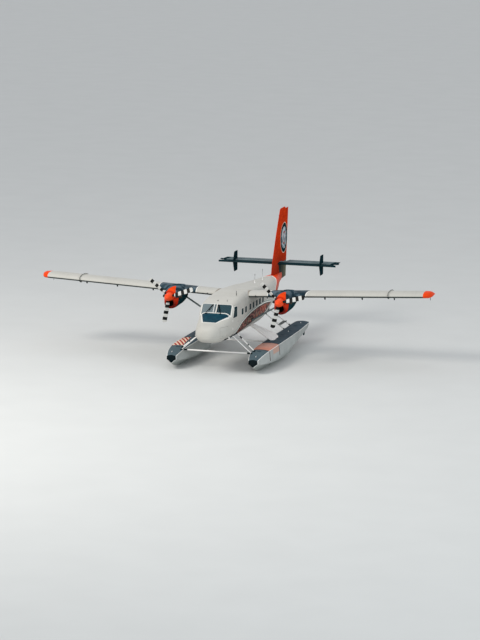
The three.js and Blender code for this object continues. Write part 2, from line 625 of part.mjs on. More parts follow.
const spreaderEnds = [1, -1].flatMap((side) => [
  grown(floatBlank(side)),
  grown(sideBox(side, STRUT_PAD), 2),
  ...FRONT_STRUTS.map((strut) => strutSolid(side, strut, 2)),
]);
for (const [name, y, z] of SPREADERS) {
  const bar = rod([-SPREADER_END, y, z], [SPREADER_END, y, z], SPREADER_RADIUS);
  add(name, cutBy(solid(bar), spreaderEnds), white);
}

export default aircraft;
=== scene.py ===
"""Looks of a twin-turboprop floatplane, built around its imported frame.

Metres, +x to port, +y aft, +z up. Tables and shapes are measured from the wing's leading edge on the
centreline; solid() moves every mesh to the row frame by DATUM. Paint areas are read from the same place.
"""

import math

import bmesh
import bpy
import numpy as np
from mathutils import Matrix, Vector


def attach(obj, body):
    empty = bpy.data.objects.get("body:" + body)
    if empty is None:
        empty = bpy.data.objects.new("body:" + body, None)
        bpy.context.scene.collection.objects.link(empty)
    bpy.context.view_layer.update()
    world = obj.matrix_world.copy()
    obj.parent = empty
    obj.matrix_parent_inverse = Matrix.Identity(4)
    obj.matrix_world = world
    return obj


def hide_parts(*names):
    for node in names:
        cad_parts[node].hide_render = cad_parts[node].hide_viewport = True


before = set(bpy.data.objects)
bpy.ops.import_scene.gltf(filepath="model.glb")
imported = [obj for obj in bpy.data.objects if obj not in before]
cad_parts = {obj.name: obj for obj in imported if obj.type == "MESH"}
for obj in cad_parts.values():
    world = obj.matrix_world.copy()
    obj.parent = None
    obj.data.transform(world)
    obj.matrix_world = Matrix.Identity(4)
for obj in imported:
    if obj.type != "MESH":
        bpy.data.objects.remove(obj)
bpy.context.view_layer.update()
DATUM = np.array([0.0, -3.045, 3.15])
SIDES = ((1, "port"), (-1, "starboard"))

# Fuselage: station, half width, top, bottom, top radius, bottom radius
BODY = np.array([
    [-4.50, 0.000, -1.175, -1.175, 0.000, 0.000],
    [-4.47, 0.225, -0.960, -1.380, 0.200, 0.200],
    [-4.43, 0.305, -0.900, -1.435, 0.260, 0.260],
    [-4.34, 0.415, -0.840, -1.500, 0.320, 0.320],
    [-4.23, 0.500, -0.790, -1.550, 0.360, 0.360],
    [-4.06, 0.592, -0.745, -1.585, 0.395, 0.385],
    [-3.85, 0.670, -0.710, -1.610, 0.440, 0.400],
    [-3.30, 0.780, -0.560, -1.630, 0.440, 0.400],
    [-2.75, 0.830, -0.370, -1.630, 0.400, 0.390],
    [-2.44, 0.850, 0.000, -1.630, 0.250, 0.380],
    [-1.80, 0.873, 0.130, -1.630, 0.240, 0.380],
    [-1.00, 0.875, 0.205, -1.630, 0.250, 0.380],
    [-0.20, 0.875, 0.260, -1.630, 0.270, 0.380],
    [0.60, 0.875, 0.270, -1.630, 0.280, 0.380],
    [1.00, 0.875, 0.238, -1.630, 0.280, 0.380],
    [2.30, 0.875, 0.145, -1.630, 0.260, 0.380],
    [3.00, 0.865, 0.090, -1.590, 0.250, 0.370],
    [4.60, 0.780, -0.040, -1.330, 0.250, 0.330],
    [6.50, 0.540, -0.110, -1.040, 0.230, 0.300],
    [7.40, 0.400, -0.125, -0.880, 0.200, 0.320],
    [8.10, 0.245, -0.140, -0.720, 0.150, 0.230],
    [9.15, 0.095, -0.180, -0.520, 0.080, 0.080],
])
NOSE = -4.5
SCREEN_FOOT = -2.75
SCREEN_HEAD = -2.44
NOSE_END = -2.76
COCKPIT_END = -1.5
CABIN_END = 4.6
TAIL_END = 9.15
WALL = 0.055
SEAM = 0.0015
ROOF_CROWN = 0.02

# Wing: distance from the centreline, nose set back, tail drawn in, thickness
WING = np.array([
    [0.8753, 0.00, 0.00, 0.160],
    [9.42, 0.00, 0.00, 0.160],
    [9.56, 0.02, 0.10, 0.170],
    [9.70, 0.09, 0.30, 0.200],
    [9.82, 0.23, 0.58, 0.270],
    [9.88, 0.40, 0.76, 0.380],
    [9.905, 0.56, 0.88, 0.560],
])
HALF_SPAN = 9.905
TIP_ROUND = 9.66
CHORD = 1.98
WING_RISE = 0.035
DIHEDRAL = math.tan(math.radians(2.8))
INCIDENCE = math.radians(2.5)
FLAP_HINGE = 1.42
FLAP_NOSE = 0.078
FLAP_DROP = 0.15
SPAR = 1.326
FLAP_SPAN = (0.915, 5.888)
AILERON_SPAN = (5.9, 9.42)
FENCE_X = 7.82
ARM_PLACES = (1.35, 4.25, 5.72)
# How far the stall fence stands above the wing: (distance aft, height)
FENCE_LIFT = [(0, .045), (.2, .036), (.45, .03), (.7, .04), (.9, .046), (1.1, .036), (1.25, .004)]
# Hinge arms on the wing and on the flap, seen from the side and measured from FLAP_DROP below the hinge line
WING_ARM = [(-.44, .04), (-.095, .055), (-.02, .032), (.026, .022), (.03, -.018), (0, -.034), (-.06, -.03),
            (-.4, .01)]
FLAP_ARM = [(-.03, .008), (-.008, .032), (.07, .11), (.34, .11), (.3, .06), (.03, -.024), (0, -.034),
            (-.028, -.018)]
# Foot and head of a wing strut
WING_STRUT = ((0.86, 0.64, -1.255), (2.96, 0.70, 0.02))

# Engines: nacelle sections as for the fuselage
ENGINE_X = 2.78
THRUST = 0.05
PROP_Y = -1.35
NACELLE = np.array([
    [-1.18, 0.268, 0.325, -0.555, 0.245, 0.262],
    [-1.00, 0.340, 0.400, -0.580, 0.300, 0.325],
    [-0.50, 0.375, 0.445, -0.540, 0.280, 0.300],
    [0.00, 0.370, 0.445, -0.490, 0.260, 0.240],
    [0.55, 0.325, 0.400, -0.430, 0.220, 0.210],
    [1.00, 0.260, 0.300, -0.350, 0.180, 0.170],
    [1.31, 0.150, 0.100, -0.220, 0.090, 0.090],
])
INTAKE_Z = -0.27
INTAKE_RADIUS = 0.185
# The intake's duct: how far inside that radius, and the station
DUCT_WALL = ((.004, -1.16), (.03, -1.0), (.05, -.72), (.01, -.715), (.001, -1.0), (.0005, -1.16))
# An exhaust stub's path from its root: outward, aft, up
EXHAUST = ((0, 0, 0), (0.06, 0.015, -0.01), (0.11, 0.05, -0.03), (0.14, 0.11, -0.055))
# The spinner: (radius, distance from the hub)
SPINNER = np.array([[0, -.42], [.05, -.405], [.115, -.33], [.17, -.2], [.198, -.06], [.205, .15]])
# Blade: distance from the hub, chord, thickness, pitch in degrees
BLADE = np.array([
    [0.150, 0.115, 0.070, 50],
    [0.420, 0.205, 0.042, 38],
    [0.850, 0.232, 0.026, 26],
    [1.235, 0.222, 0.014, 20],
    [1.295, 0.180, 0.010, 20],
])
BAND_PITCH = 0.312
# Each blade: turn in degrees, and how far out its first black band starts
BLADES = {"port": ((15, 0.53), (135, 0.36), (255, 0.51)),
          "starboard": ((19.5, 0.66), (139.5, 0.42), (259.5, 0.71))}

# Fin: height, nose, trailing edge, thickness
FIN = np.array([
    [-0.20, 7.33, 10.15, 0.052],
    [0.43, 7.50, 10.30, 0.050],
    [1.89, 8.26, 10.46, 0.055],
    [3.06, 8.96, 10.58, 0.060],
    [3.15, 9.10, 10.56, 0.040],
])
FIN_CROWN = 3.06
# Rudder: hinge station, height, nose radius, trailing edge
RUDDER_FOOT = (9.3, -0.52, 0.066, 10.19)
RUDDER_HEAD = (9.93, 3.05, 0.034, 10.59)
TAIL_Z = 0.354
TAIL_NOSE = 8.33
TAIL_CHORD = 1.47
TAIL_CUT = 9.108
ELEVATOR_HINGE = 9.17
ELEVATOR_TAIL = 9.8
ELEVATOR_ROOT = 0.33
TAIL_HALF = 2.86
TAIL_TIP = 3.05
# Rings of the tailplane's tip: distance past its half span, nose set back, length
TAIL_TIPS = ((-0.01, 0.0, 0.22), (0.1, 0.005, 0.17), (0.2, 0.03, 0.11), (0.26, 0.07, 0.05))
FINLET_X = 2.3
FINLET = [(8.25, 0), (8.48, .52), (9.08, .52), (9.08, -.52), (8.48, -.52)]
# Rings of the elevator's horn: distance from the centreline, nose, length
HORN = ((2.89, 8.66, .54), (3.0, 8.64, .56), (3.08, 8.66, .54), (3.13, 8.74, .44), (3.145, 8.84, .25))

# Floats: station, half width of deck, deck edge, half width of chine, chine, keel
FLOAT_X = 2.04
KEEL = -3.15
STEP = 1.6
FLOAT_FORE = np.array([
    [-3.30, 0.215, -2.480, 0.225, -2.640, -2.800],
    [-3.00, 0.285, -2.375, 0.315, -2.690, -2.960],
    [-2.40, 0.370, -2.270, 0.415, -2.760, -3.090],
    [-1.70, 0.425, -2.215, 0.480, -2.830, KEEL],
    [-0.40, 0.450, -2.195, 0.520, -2.890, KEEL],
    [STEP, 0.450, -2.190, 0.520, -2.900, KEEL],
])
FLOAT_AFT = np.array([
    [STEP + 0.002, 0.450, -2.190, 0.480, -2.780, KEEL + 0.15],
    [3.60, 0.425, -2.190, 0.410, -2.640, -2.790],
    [5.80, 0.375, -2.152, 0.320, -2.415, -2.500],
    [6.01, 0.364, -2.150, 0.306, -2.395, -2.470],
    [6.03, 0.348, -2.152, 0.292, -2.388, -2.460],
])
DECK_CROWN = 0.045
STRIPE = 0.2

# Doors and windows. Outlines are (y, z); the front edge is upright to the waist and leans back to the head
CREW_DOOR = {"start": -2.66, "end": -1.75, "foot": -1.25, "waist": -0.62, "head": -0.04, "head_from": -2.36}
RIM = 0.03
CORNER_RADIUS = 0.07
CREW_WINDOW = {"start": -2.62, "end": -2.0, "foot": -0.61, "waist": -0.6, "head": -0.1, "head_from": -2.4}
CABIN_DOOR = {"start": 3.19, "end": 3.95, "foot": -1.23, "waist": -0.6, "head": -0.15, "head_from": 3.19}
CABIN_DOOR_WINDOW = {"start": 3.4, "end": 3.74, "foot": -0.64, "waist": -0.63, "head": -0.33,
                     "head_from": 3.4}
CABIN_WINDOWS = (-1.08, -0.48, 0.3, 0.88, 1.46, 2.04, 2.62)
WINDOW_HALF = 0.165
WINDOW_FOOT = -0.665
WINDOW_HEAD = -0.36
DOOR_GAP = 0.009
DOOR_BEVEL = 0.17
SIDE_X = 0.875
NOSE_DOOR = {"centre": (0.65, -3.605, -1.12), "length": 0.75, "height": 0.5, "yaw": -20}


# Meshes

def smooth_through(stations, values, at):
    """A monotone cubic curve through a table's values, read at some stations."""
    x, y, at = (np.asarray(v, float) for v in (stations, values, at))
    gap = np.diff(x)
    slope = np.diff(y) / gap
    tangent = np.concatenate([[slope[0]], np.zeros(len(x) - 2), [slope[-1]]])
    for i in range(1, len(x) - 1):
        if slope[i - 1] * slope[i] > 0:
            before, after = 2 * gap[i] + gap[i - 1], gap[i] + 2 * gap[i - 1]
            tangent[i] = (before + after) / (before / slope[i - 1] + after / slope[i])
    k = np.clip(np.searchsorted(x, at) - 1, 0, len(x) - 2)
    s = (at - x[k]) / gap[k]
    return (y[k] * (1 + 2 * s) * (1 - s) ** 2 + y[k + 1] * s * s * (3 - 2 * s)
            + gap[k] * s * (1 - s) * (tangent[k] * (1 - s) - tangent[k + 1] * s))


def smooth_rows(table, at):
    """Rows of a table read at more stations."""
    return np.column_stack([at] + [smooth_through(table[:, 0], column, at) for column in table.T[1:]])


def loft(rings, close="fan", tones=None):
    """A skin through rings of equally many points: fanned or flat ends, or a loop of rings.

    A form is its points, its faces and each face's tone, which is the number of its finish.
    """
    rings = np.asarray(rings, float)
    rows, count = rings.shape[:2]
    points = rings.reshape(-1, 3)
    spans = rows if close == "loop" else rows - 1
    i, j = np.meshgrid(range(spans), range(count), indexing="ij")
    after, beside = (i + 1) % rows, (j + 1) % count
    corners = [i * count + j, i * count + beside, after * count + beside, after * count + j]
    faces = np.stack(corners, -1).reshape(-1, 4).tolist()
    marks = np.repeat(tones if tones is not None else [0] * spans, count).tolist()
    ends = ((0, marks[0]), ((rows - 1) * count, marks[-1]))
    for start, mark in ends if close != "loop" else ():
        if close == "flat":
            faces.append(list(range(start, start + count)))
            marks.append(mark)
        else:
            points = np.vstack([points, points[start:start + count].mean(0)])
            faces += [[start + k, start + (k + 1) % count, len(points) - 1] for k in range(count)]
            marks += [mark] * count
    return points, faces, marks


def moved(form, matrix):
    points, faces, marks = form
    m = np.array(matrix)
    return points @ m[:3, :3].T + m[:3, 3], faces, marks


def toned(form, tone):
    points, faces, marks = form
    return points, faces, [tone] * len(marks)


def solid(name, forms, finishes=()):
    """One object of several closed forms, its faces pointing out, moved to the row frame."""
    points, faces, marks, start = [], [], [], 0
    for form_points, form_faces, form_marks in forms:
        points.append(form_points)
        faces += [[v + start for v in face] for face in form_faces]
        marks += form_marks
        start += len(form_points)
    mesh = bpy.data.meshes.new(name)
    mesh.from_pydata(np.vstack(points) + DATUM, [], faces)
    mesh.polygons.foreach_set("material_index", marks)
    work = bmesh.new()
    work.from_mesh(mesh)
    bmesh.ops.recalc_face_normals(work, faces=work.faces)
    work.to_mesh(mesh)
    work.free()
    for finish in finishes:
        mesh.materials.append(finish)
    obj = bpy.data.objects.new(name, mesh)
    bpy.context.scene.collection.objects.link(obj)
    return obj


def carve(obj, forms, operation="DIFFERENCE"):
    """Cuts closed forms out of an object, or keeps only what lies inside them."""
    cutter = solid("cutter", forms)
    modifier = obj.modifiers.new("carve", "BOOLEAN")
    modifier.operation = operation
    modifier.solver = "EXACT"
    modifier.object = cutter
    ready = obj.evaluated_get(bpy.context.evaluated_depsgraph_get())
    mesh = bpy.data.meshes.new_from_object(ready)
    obj.modifiers.clear()
    obj.data = mesh
    bpy.data.objects.remove(cutter)
    return obj


def dress(obj, body="airframe", slot=None, replaces=(), sharp=35, bevel=0.0):
    """Shades an object, rounds its edges if asked, and hangs it on its body."""
    obj.data.shade_smooth()
    obj.data.set_sharp_from_angle(angle=math.radians(sharp))
    if bevel:
        modifier = obj.modifiers.new("edges", "BEVEL")
        modifier.width = bevel
        modifier.segments = 2
        modifier.limit_method = "ANGLE"
        modifier.angle_limit = math.radians(sharp)
    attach(obj, body)
    if replaces:
        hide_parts(*replaces)
    return obj


def piece(name, forms, finishes, body="airframe", slot=None, replaces=(), **edges):
    """A finished object of several forms."""
    return dress(solid(name, forms, finishes), body, slot, replaces, **edges)


def rounded_outline(corners, radius, steps=6):
    """A polygon with its corners rounded."""
    corners = [np.array(c, float) for c in corners]
    points = []
    for i, corner in enumerate(corners):
        sides = [corners[i - 1] - corner, corners[(i + 1) % len(corners)] - corner]
        reach = [s / np.linalg.norm(s) * min(radius, np.linalg.norm(s) * 0.48) for s in sides]
        for t in np.linspace(0, 1, steps + 1):
            points.append(corner + reach[0] * (1 - t) ** 2 + reach[1] * t ** 2)
    return points


def prism(outline, axis, low, high):
    """A flat outline drawn out along x, y or z."""
    column = "xyz".index(axis)
    return loft([np.insert(np.array(outline, float), column, d, axis=1) for d in (low, high)], "flat")


def box(x0, x1, y0, y1, z0, z1):
    return prism([(y0, z0), (y1, z0), (y1, z1), (y0, z1)], "x", x0, x1)


def circle(radius, count):
    turns = np.linspace(0, 2 * math.pi, count, endpoint=False)
    return np.stack([radius * np.cos(turns), radius * np.sin(turns)], -1)


def basis(along, up=(0, 0, 1)):
    """Side and up vectors across a direction."""
    along = np.array(along, float) / np.linalg.norm(along)
    side = np.cross(along, up)
    if np.linalg.norm(side) < 1e-4:
        side = np.cross(along, (0, 1, 0))
    side /= np.linalg.norm(side)
    return side, np.cross(side, along)


def tube(path, radius, count):
    """A round bar along a path; radius is one number or one for each point."""
    path = np.array(path, float)
    radii = np.broadcast_to(radius, len(path))
    heading = np.gradient(path, axis=0)
    rings = []
    for point, way, r in zip(path, heading, radii):
        side, up = basis(way)
        rings.append([point + side * a + up * b for a, b in circle(r, count)])
    return loft(rings)


def lathe(profile, centre, along=(0, 1, 0), count=36, close="fan"):
    """Radius and distance pairs turned about a line through centre."""
    along = np.array(along, float) / np.linalg.norm(along)
    side, up = basis(along)
    centre = np.array(centre, float)
    rings = []
    for radius, distance in profile:
        rim = circle(max(radius, 1e-4), count)
        rings.append([centre + along * distance + side * a + up * b for a, b in rim])
    return loft(rings, close)


def bar(start, end, section):
    """A bar of constant section between two points; section is (across, fore and aft) offsets."""
    start, end = np.array(start, float), np.array(end, float)
    side, _ = basis(end - start, (0, 1, 0))
    rings = [[point + side * a + np.array((0, b, 0)) for a, b in section] for point in (start, end)]
    return loft(rings, "flat")


def foil_section(chord, thickness, count=28):
    """A streamlined section, blunt nose forward, for struts: (across, fore and aft) pairs."""
    turns = np.linspace(0, 2 * math.pi, count, endpoint=False)
    share = (1 - np.cos(turns)) / 2
    half = thickness * (1.4845 * np.sqrt(share) - .63 * share - 1.758 * share ** 2
                        + 1.4215 * share ** 3 - .518 * share ** 4)
    return list(zip(half * np.sign(np.sin(turns)), (share - 0.4) * chord))


def pad(x0, x1, y0, y1, z0, z1, power=4.5, grid=7):
    """A crowned cushion form: a box whose faces swell between drawn-in corners."""
    middle = np.array([x0 + x1, y0 + y1, z0 + z1]) / 2
    half = np.array([x1 - x0, y1 - y0, z1 - z0]) / 2
    work = bmesh.new()
    bmesh.ops.create_cube(work, size=2)
    bmesh.ops.subdivide_edges(work, edges=work.edges, cuts=grid, use_grid_fill=True)
    points = np.array([v.co for v in work.verts])
    work.verts.index_update()
    faces = [[v.index for v in face.verts] for face in work.faces]
    work.free()
    points = np.sign(points) * np.abs(np.sin(points * math.pi / 2)) ** 0.9
    points /= ((np.abs(points) ** power).sum(1) ** (1 / power))[:, None]
    return points * half + middle, faces, [0] * len(faces)


# Sections

def rounded_ring(y, half, top, bottom, top_radius, bottom_radius, crown=0.0, corner=9, straight=7):
    """A box section with round corners and a slightly crowned top, all rings with equally many points."""
    limit = 0.98 * min(half, (top - bottom) / 2)
    t, b = min(top_radius, limit), min(bottom_radius, limit)
    corners = [(half - b, bottom + b, b, -90), (half - t, top - t, t, 0),
               (t - half, top - t, t, 90), (b - half, bottom + b, b, 180)]
    arcs = []
    for x, z, radius, start in corners:
        turns = np.radians(np.linspace(start, start + 90, corner + 1))
        arcs.append(np.stack([x + radius * np.cos(turns), z + radius * np.sin(turns)], -1))
    points = []
    for arc, following in zip(arcs, arcs[1:] + arcs[:1]):
        points += list(arc)
        points += [arc[-1] + (following[0] - arc[-1]) * i / straight for i in range(1, straight)]
    ring = np.array(points)
    middle = (top + bottom) / 2
    lift = np.clip((ring[:, 1] - middle) / (top - middle), 0, 1) * (1 - (ring[:, 0] / half) ** 2)
    return np.stack([ring[:, 0], np.full(len(ring), y), ring[:, 1] + crown * lift], -1)


def body_section(y):
    """Half width, top, bottom, top radius and bottom radius of the fuselage at a station."""
    if y <= SCREEN_FOOT:
        table = BODY[BODY[:, 0] <= SCREEN_FOOT]
        return [smooth_through(np.sqrt(table[:, 0] - NOSE), c, [math.sqrt(y - NOSE)])[0] for c in table.T[1:]]
    if y < SCREEN_HEAD:
        return [np.interp(y, BODY[:, 0], c) for c in BODY.T[1:]]
    table = BODY[BODY[:, 0] >= SCREEN_HEAD]
    return [smooth_through(table[:, 0], c, [y])[0] for c in table.T[1:]]


def body_ring(y, inset=0.0):
    half, top, bottom, t, b = body_section(y)
    crown = ROOF_CROWN * min(1.0, max(0.0, (y - SCREEN_HEAD) / 0.6))
    radii = max(0.02, t - inset), max(0.02, b - inset)
    return rounded_ring(y, half - inset, top - inset, bottom + inset, *radii, crown)


def body_stations(start, end, step=0.12):
    inner = [y for y in BODY[:, 0] if start + 0.01 < y < end - 0.01]
    marks = [start] + inner + [end]
    spans = [np.linspace(a, b, max(2, 1 + math.ceil((b - a) / step))) for a, b in zip(marks, marks[1:])]
    return np.unique(np.concatenate(spans))


def body_shell(start, end, outer=0.0, inner=WALL):
    """A stretch of the fuselage's wall, open at both ends. Its outside has tone 0 and its inside tone 1."""
    places = body_stations(start, end)
    rings = [body_ring(y, outer) for y in places] + [body_ring(y, inner) for y in places[::-1]]
    return loft(rings, "loop", [0] * len(places) + [1] * len(places))


def nose_shell(inner=0.045):
    outside = NOSE + np.linspace(0.03, math.sqrt(NOSE_END - SEAM - NOSE), 40) ** 2
    inside = np.linspace(NOSE_END - SEAM, NOSE + 0.25, 14)
    rings = [body_ring(y) for y in outside] + [body_ring(y, inner) for y in inside]
    return loft(rings, "fan", [0] * len(outside) + [1] * (len(inside) - 1))


def wing_height(x):
    return WING_RISE + DIHEDRAL * abs(x)


def foil_half(share, chord, thickness):
    """Half the thickness of a symmetrical wing section, at a share of its chord."""
    curve = (.2969 * np.sqrt(share) - .126 * share - .3516 * share ** 2
             + .2843 * share ** 3 - .1036 * share ** 4)
    return 5 * thickness * chord * curve


def foil_points(chord, thickness, upper_to=1.0, lower_to=1.0, count=30):
    """The wing's section in its own chord frame, from the lower tail round the nose to the upper tail."""
    lower = (1 - np.cos(np.linspace(0, math.acos(1 - 2 * lower_to), count))) / 2
    upper = (1 - np.cos(np.linspace(0, math.acos(1 - 2 * upper_to), count))) / 2
    below = np.stack([lower * chord, -0.8 * foil_half(lower, chord, thickness) - 0.002], -1)[::-1]
    above = np.stack([upper * chord, 1.2 * foil_half(upper, chord, thickness) + 0.002], -1)
    return np.vstack([below[:-1], (below[-1:] + above[:1]) / 2 - [0.001, 0], above[1:]])


def set_foil(x, points, nose=0.0, height=0.0, incidence=INCIDENCE):
    c, s = math.cos(incidence), math.sin(incidence)
    return np.stack([np.full(len(points), x), nose + points[:, 0] * c + points[:, 1] * s,
                     height - points[:, 0] * s + points[:, 1] * c], -1)


def hinge_line(x):
    return FLAP_HINGE, wing_height(x) - FLAP_HINGE * math.sin(INCIDENCE) + 0.022


def surface_section(radius, length, droop=0.0, tail=0.005, start=None, end=None, steps=16):
    """A moving surface from its hinge line: round nose, flat sides, thin tail, or a part of it."""
    turns = np.linspace(math.pi / 2, 3 * math.pi / 2, steps + 1)
    nose = np.stack([radius * np.cos(turns), radius * np.sin(turns)], -1)

    def at(share, sign):
        return (share * length, -droop * share + sign * (radius + (tail - radius) * share))
    if start is not None:
        front = [at(start + .01, 1), at(start, .8), at(start, -.8), at(start + .01, -1)]
        return np.array(front + [at(1, -1), at(1, 1)])
    if end is not None:
        return np.vstack([nose, [at(end - .01, -1), at(end, -.8), at(end, .8), at(end - .01, 1)]])
    return np.vstack([nose, [at(.5, -1), at(1, -1), at(1, 1), at(.5, 1)]])


# Finishes

def rgb(red, green, blue):
    """A colour of 0 to 255 in linear light."""
    channels = (red, green, blue)
    return tuple(((v / 255 + 0.055) / 1.055) ** 2.4 if v > 10 else v / 255 / 12.92 for v in channels) + (1.0,)


WHITE = rgb(190, 188, 181)
TRIM_WHITE = rgb(240, 236, 228)
GRIME = rgb(150, 146, 138)
LINE_GREY = rgb(110, 106, 100)
CREAM = rgb(240, 212, 186)
SLATE = rgb(46, 66, 76)
SLATE_DEEP = rgb(22, 42, 52)
# Pale blue-grey of the painted highlights on the dark slate paint
SLATE_HIGHLIGHT = rgb(96, 112, 122)
NAVY = rgb(8, 51, 66)
ORANGE = rgb(232, 70, 22)
# Deep red of the painted shade under the nacelle's chin
CHIN_SHADE_RED = rgb(150, 28, 16)
TEAL_BLACK = rgb(18, 44, 50)
DECK = rgb(82, 98, 104)
DECK_AFT = rgb(62, 78, 88)
FLOAT_GREY = rgb(176, 180, 178)
SALMON = rgb(202, 156, 142)
MAROON = rgb(76, 30, 28)
ROSE = rgb(206, 138, 122)
RUST = rgb(188, 76, 40)
ASH = rgb(128, 124, 104)
BLACK = rgb(12, 18, 20)
BONE = rgb(204, 204, 200)

# Paint edges along the fuselage: (station, height)
SASH_TOP = [(-2.3, -1.44), (-1.6, -1.19), (-1.1, -1.05), (-.5, -.95), (.1, -.87), (.9, -.8), (1.6, -.76),
            (2.3, -.75), (3.0, -.77), (3.6, -.82), (4.1, -.88), (4.5, -.93)]
SASH_FOOT = [(-2.3, -1.66), (-1.37, -1.5), (-.3, -1.385), (.8, -1.325), (1.8, -1.285), (2.9, -1.225),
             (3.8, -1.07), (4.5, -.93)]
SASH_SPAN = (-2.3, 4.4)
# Top edge and span of the painted shade along the belly's lower edge, under the nose and cockpit
BELLY_SHADE_TOP = [(-3.6, -1.56), (-3.29, -1.5), (-2.6, -1.44), (-2.1, -1.41), (-1.9, -1.63)]
BELLY_SHADE_SPAN = (-3.55, -1.95)
SWOOSH_START = 7.44
GLARE_FRONT = (-0.365, 0.285)
# The wing's dark band at its leading edge, and how far it leans outward for each metre aft
WING_BAND = (1.835, 3.71)
WING_BAND_LEAN = 0.1
TIP_PAINT = 9.53
# The cowl's orange leaf: (station, half width)
LEAF = [(-1.25, .235), (-1.08, .19), (-.9, .14), (-.63, .078), (-.43, 0.0)]
ROUNDEL = (9.66, 1.565)
DECK_EDGE = [(-3.3, -2.49), (-3.0, -2.385), (-2.4, -2.28), (-1.7, -2.225), (-.4, -2.205), (3.6, -2.2),
             (6.1, -2.16)]
# Each float's painted panel: first and last station
PANELS = {1: (-1.88, -0.24), -1: (-1.96, 0.02)}


class Value:
    """A number in a material's nodes. Sums, comparisons and joins of values add Math nodes."""

    def __init__(self, finish, socket):
        self.finish = finish
        self.socket = socket

    def __add__(self, other):
        return self.finish.math("ADD", self, other)

    def __sub__(self, other):
        return self.finish.math("SUBTRACT", self, other)

    def __rsub__(self, other):
        return self.finish.math("SUBTRACT", other, self)

    def __mul__(self, other):
        return self.finish.math("MULTIPLY", self, other)

    def __mod__(self, other):
        return self.finish.math("FLOORED_MODULO", self, other)

    def __abs__(self):
        return self.finish.math("ABSOLUTE", self)

    def __gt__(self, other):
        return self.finish.math("GREATER_THAN", self, other)

    def __lt__(self, other):
        return self.finish.math("LESS_THAN", self, other)

    def __and__(self, other):
        return self.finish.math("MULTIPLY", self, other)

    def __or__(self, other):
        return self.finish.math("MAXIMUM", self, other)


class Finish:
    """One material, built by short calls. A number and another node's output can stand in the same place."""

    def __init__(self, name, roughness=0.4, metallic=0.0, specular=0.3):
        self.material = bpy.data.materials.new(name)
        self.material.use_nodes = True
        self.tree = self.material.node_tree
        self.shader = self.tree.nodes["Principled BSDF"]
        self.shader.inputs["Roughness"].default_value = roughness
        self.shader.inputs["Metallic"].default_value = metallic
        self.shader.inputs["Specular IOR Level"].default_value = specular
        self.place = self.add("ShaderNodeTexCoord").outputs["Object"]
        x, y, z = self.add("ShaderNodeSeparateXYZ", self.place).outputs
        self.x = Value(self, x)
        self.y = Value(self, y) - float(DATUM[1])
        self.z = Value(self, z) - float(DATUM[2])

    def add(self, kind, *inputs, **settings):
        node = self.tree.nodes.new(kind)
        for key, value in settings.items():
            setattr(node, key, value)
        for socket, value in zip(node.inputs, inputs):
            self.feed(socket, value)
        return node

    def feed(self, socket, value):
        value = getattr(value, "socket", value)
        if isinstance(value, bpy.types.NodeSocket):
            self.tree.links.new(value, socket)
        elif value is not None:
            socket.default_value = value

    def math(self, operation, *inputs):
        return Value(self, self.add("ShaderNodeMath", *inputs, operation=operation).outputs[0])

    def mix(self, share, first, second):
        node = self.add("ShaderNodeMix", data_type="RGBA")
        for number, value in ((0, share), (6, first), (7, second)):
            self.feed(node.inputs[number], value)
        return node.outputs[2]

    def noise(self, scale, detail=3.0, stretch=(1, 1, 1)):
        spread = self.add("ShaderNodeMapping", self.place)
        spread.inputs["Scale"].default_value = stretch
        node = self.add("ShaderNodeTexNoise", spread.outputs[0])
        node.inputs["Scale"].default_value = scale
        node.inputs["Detail"].default_value = detail
        return Value(self, node.outputs[0])

    def spread(self, value, low, high, first=0.0, last=1.0):
        """First at low and beyond, last at high and beyond, even between."""
        return Value(self, self.add("ShaderNodeMapRange", value, low, high, first, last).outputs[0])

    def cloud(self, scale, detail, low, high, stretch=(1, 1, 1)):
        """Soft patches of noise, 0 below low and 1 above high."""
        return self.spread(self.noise(scale, detail, stretch), low, high)

    def between(self, value, low, high):
        return (value > low) & (value < high)

    def polygon(self, across, along, corners):
        """1 inside a convex polygon whose corners run anticlockwise."""
        inside = 1.0
        for (a, b), (c, d) in zip(corners, corners[1:] + corners[:1]):
            left = (along - b) * (c - a) - (across - a) * (d - b)
            inside = (left > 0.0) * inside
        return inside

    def follow(self, value, points):
        """A smooth curve through (value, result) points."""
        (x0, x1), (y0, y1) = [(min(c), max(c)) for c in zip(*points)]
        node = self.add("ShaderNodeFloatCurve", 1.0, self.spread(value, x0, x1))
        line = node.mapping.curves[0]
        spots = sorted(((x - x0) / (x1 - x0), (y - y0) / (y1 - y0)) for x, y in points)
        for spot in spots[2:]:
            line.points.new(*spot)
        for point, spot in zip(line.points, spots):
            point.location = spot
        node.mapping.update()
        return self.spread(node.outputs[0], 0.0, 1.0, y0, y1)

    def seams(self, value, pitch, width):
        """1 on thin lines a pitch apart."""
        return (value % pitch) < width

    def weather(self, colour, amount=0.08, dirt=rgb(96, 92, 84), scale=1.3):
        """Soft patches, fine mottling and a little grime."""
        patches = self.cloud(scale, 4, 0.42, 0.75) + self.cloud(scale * 14, 2, 0.35, 0.7) * 0.35
        return self.mix(patches * amount, colour, dirt)

    def rough(self, low, high, scale=3.0):
        self.feed(self.shader.inputs["Roughness"], self.spread(self.noise(scale, 4), 0.3, 0.7, low, high))

    def bump(self, height, distance, strength=0.5):
        node = self.add("ShaderNodeBump")
        node.inputs["Strength"].default_value = strength
        node.inputs["Distance"].default_value = distance
        self.feed(node.inputs["Height"], height)
        self.feed(self.shader.inputs["Normal"], node.outputs[0])

    def done(self, colour):
        self.feed(self.shader.inputs["Base Color"], colour)
        return self.material


def plain(name, colour, roughness=0.45, metallic=0.0, grime=0.1, scale=3.0, grain=0.0005, grain_scale=60.0,
          specular=0.3):
    """A worn, evenly coloured surface with a fine grain."""
    f = Finish(name, roughness, metallic, specular)
    f.rough(roughness * 0.8, min(1.0, roughness * 1.25))
    f.bump(f.noise(grain_scale, 2), grain)
    return f.done(f.weather(colour, grime, scale=scale))


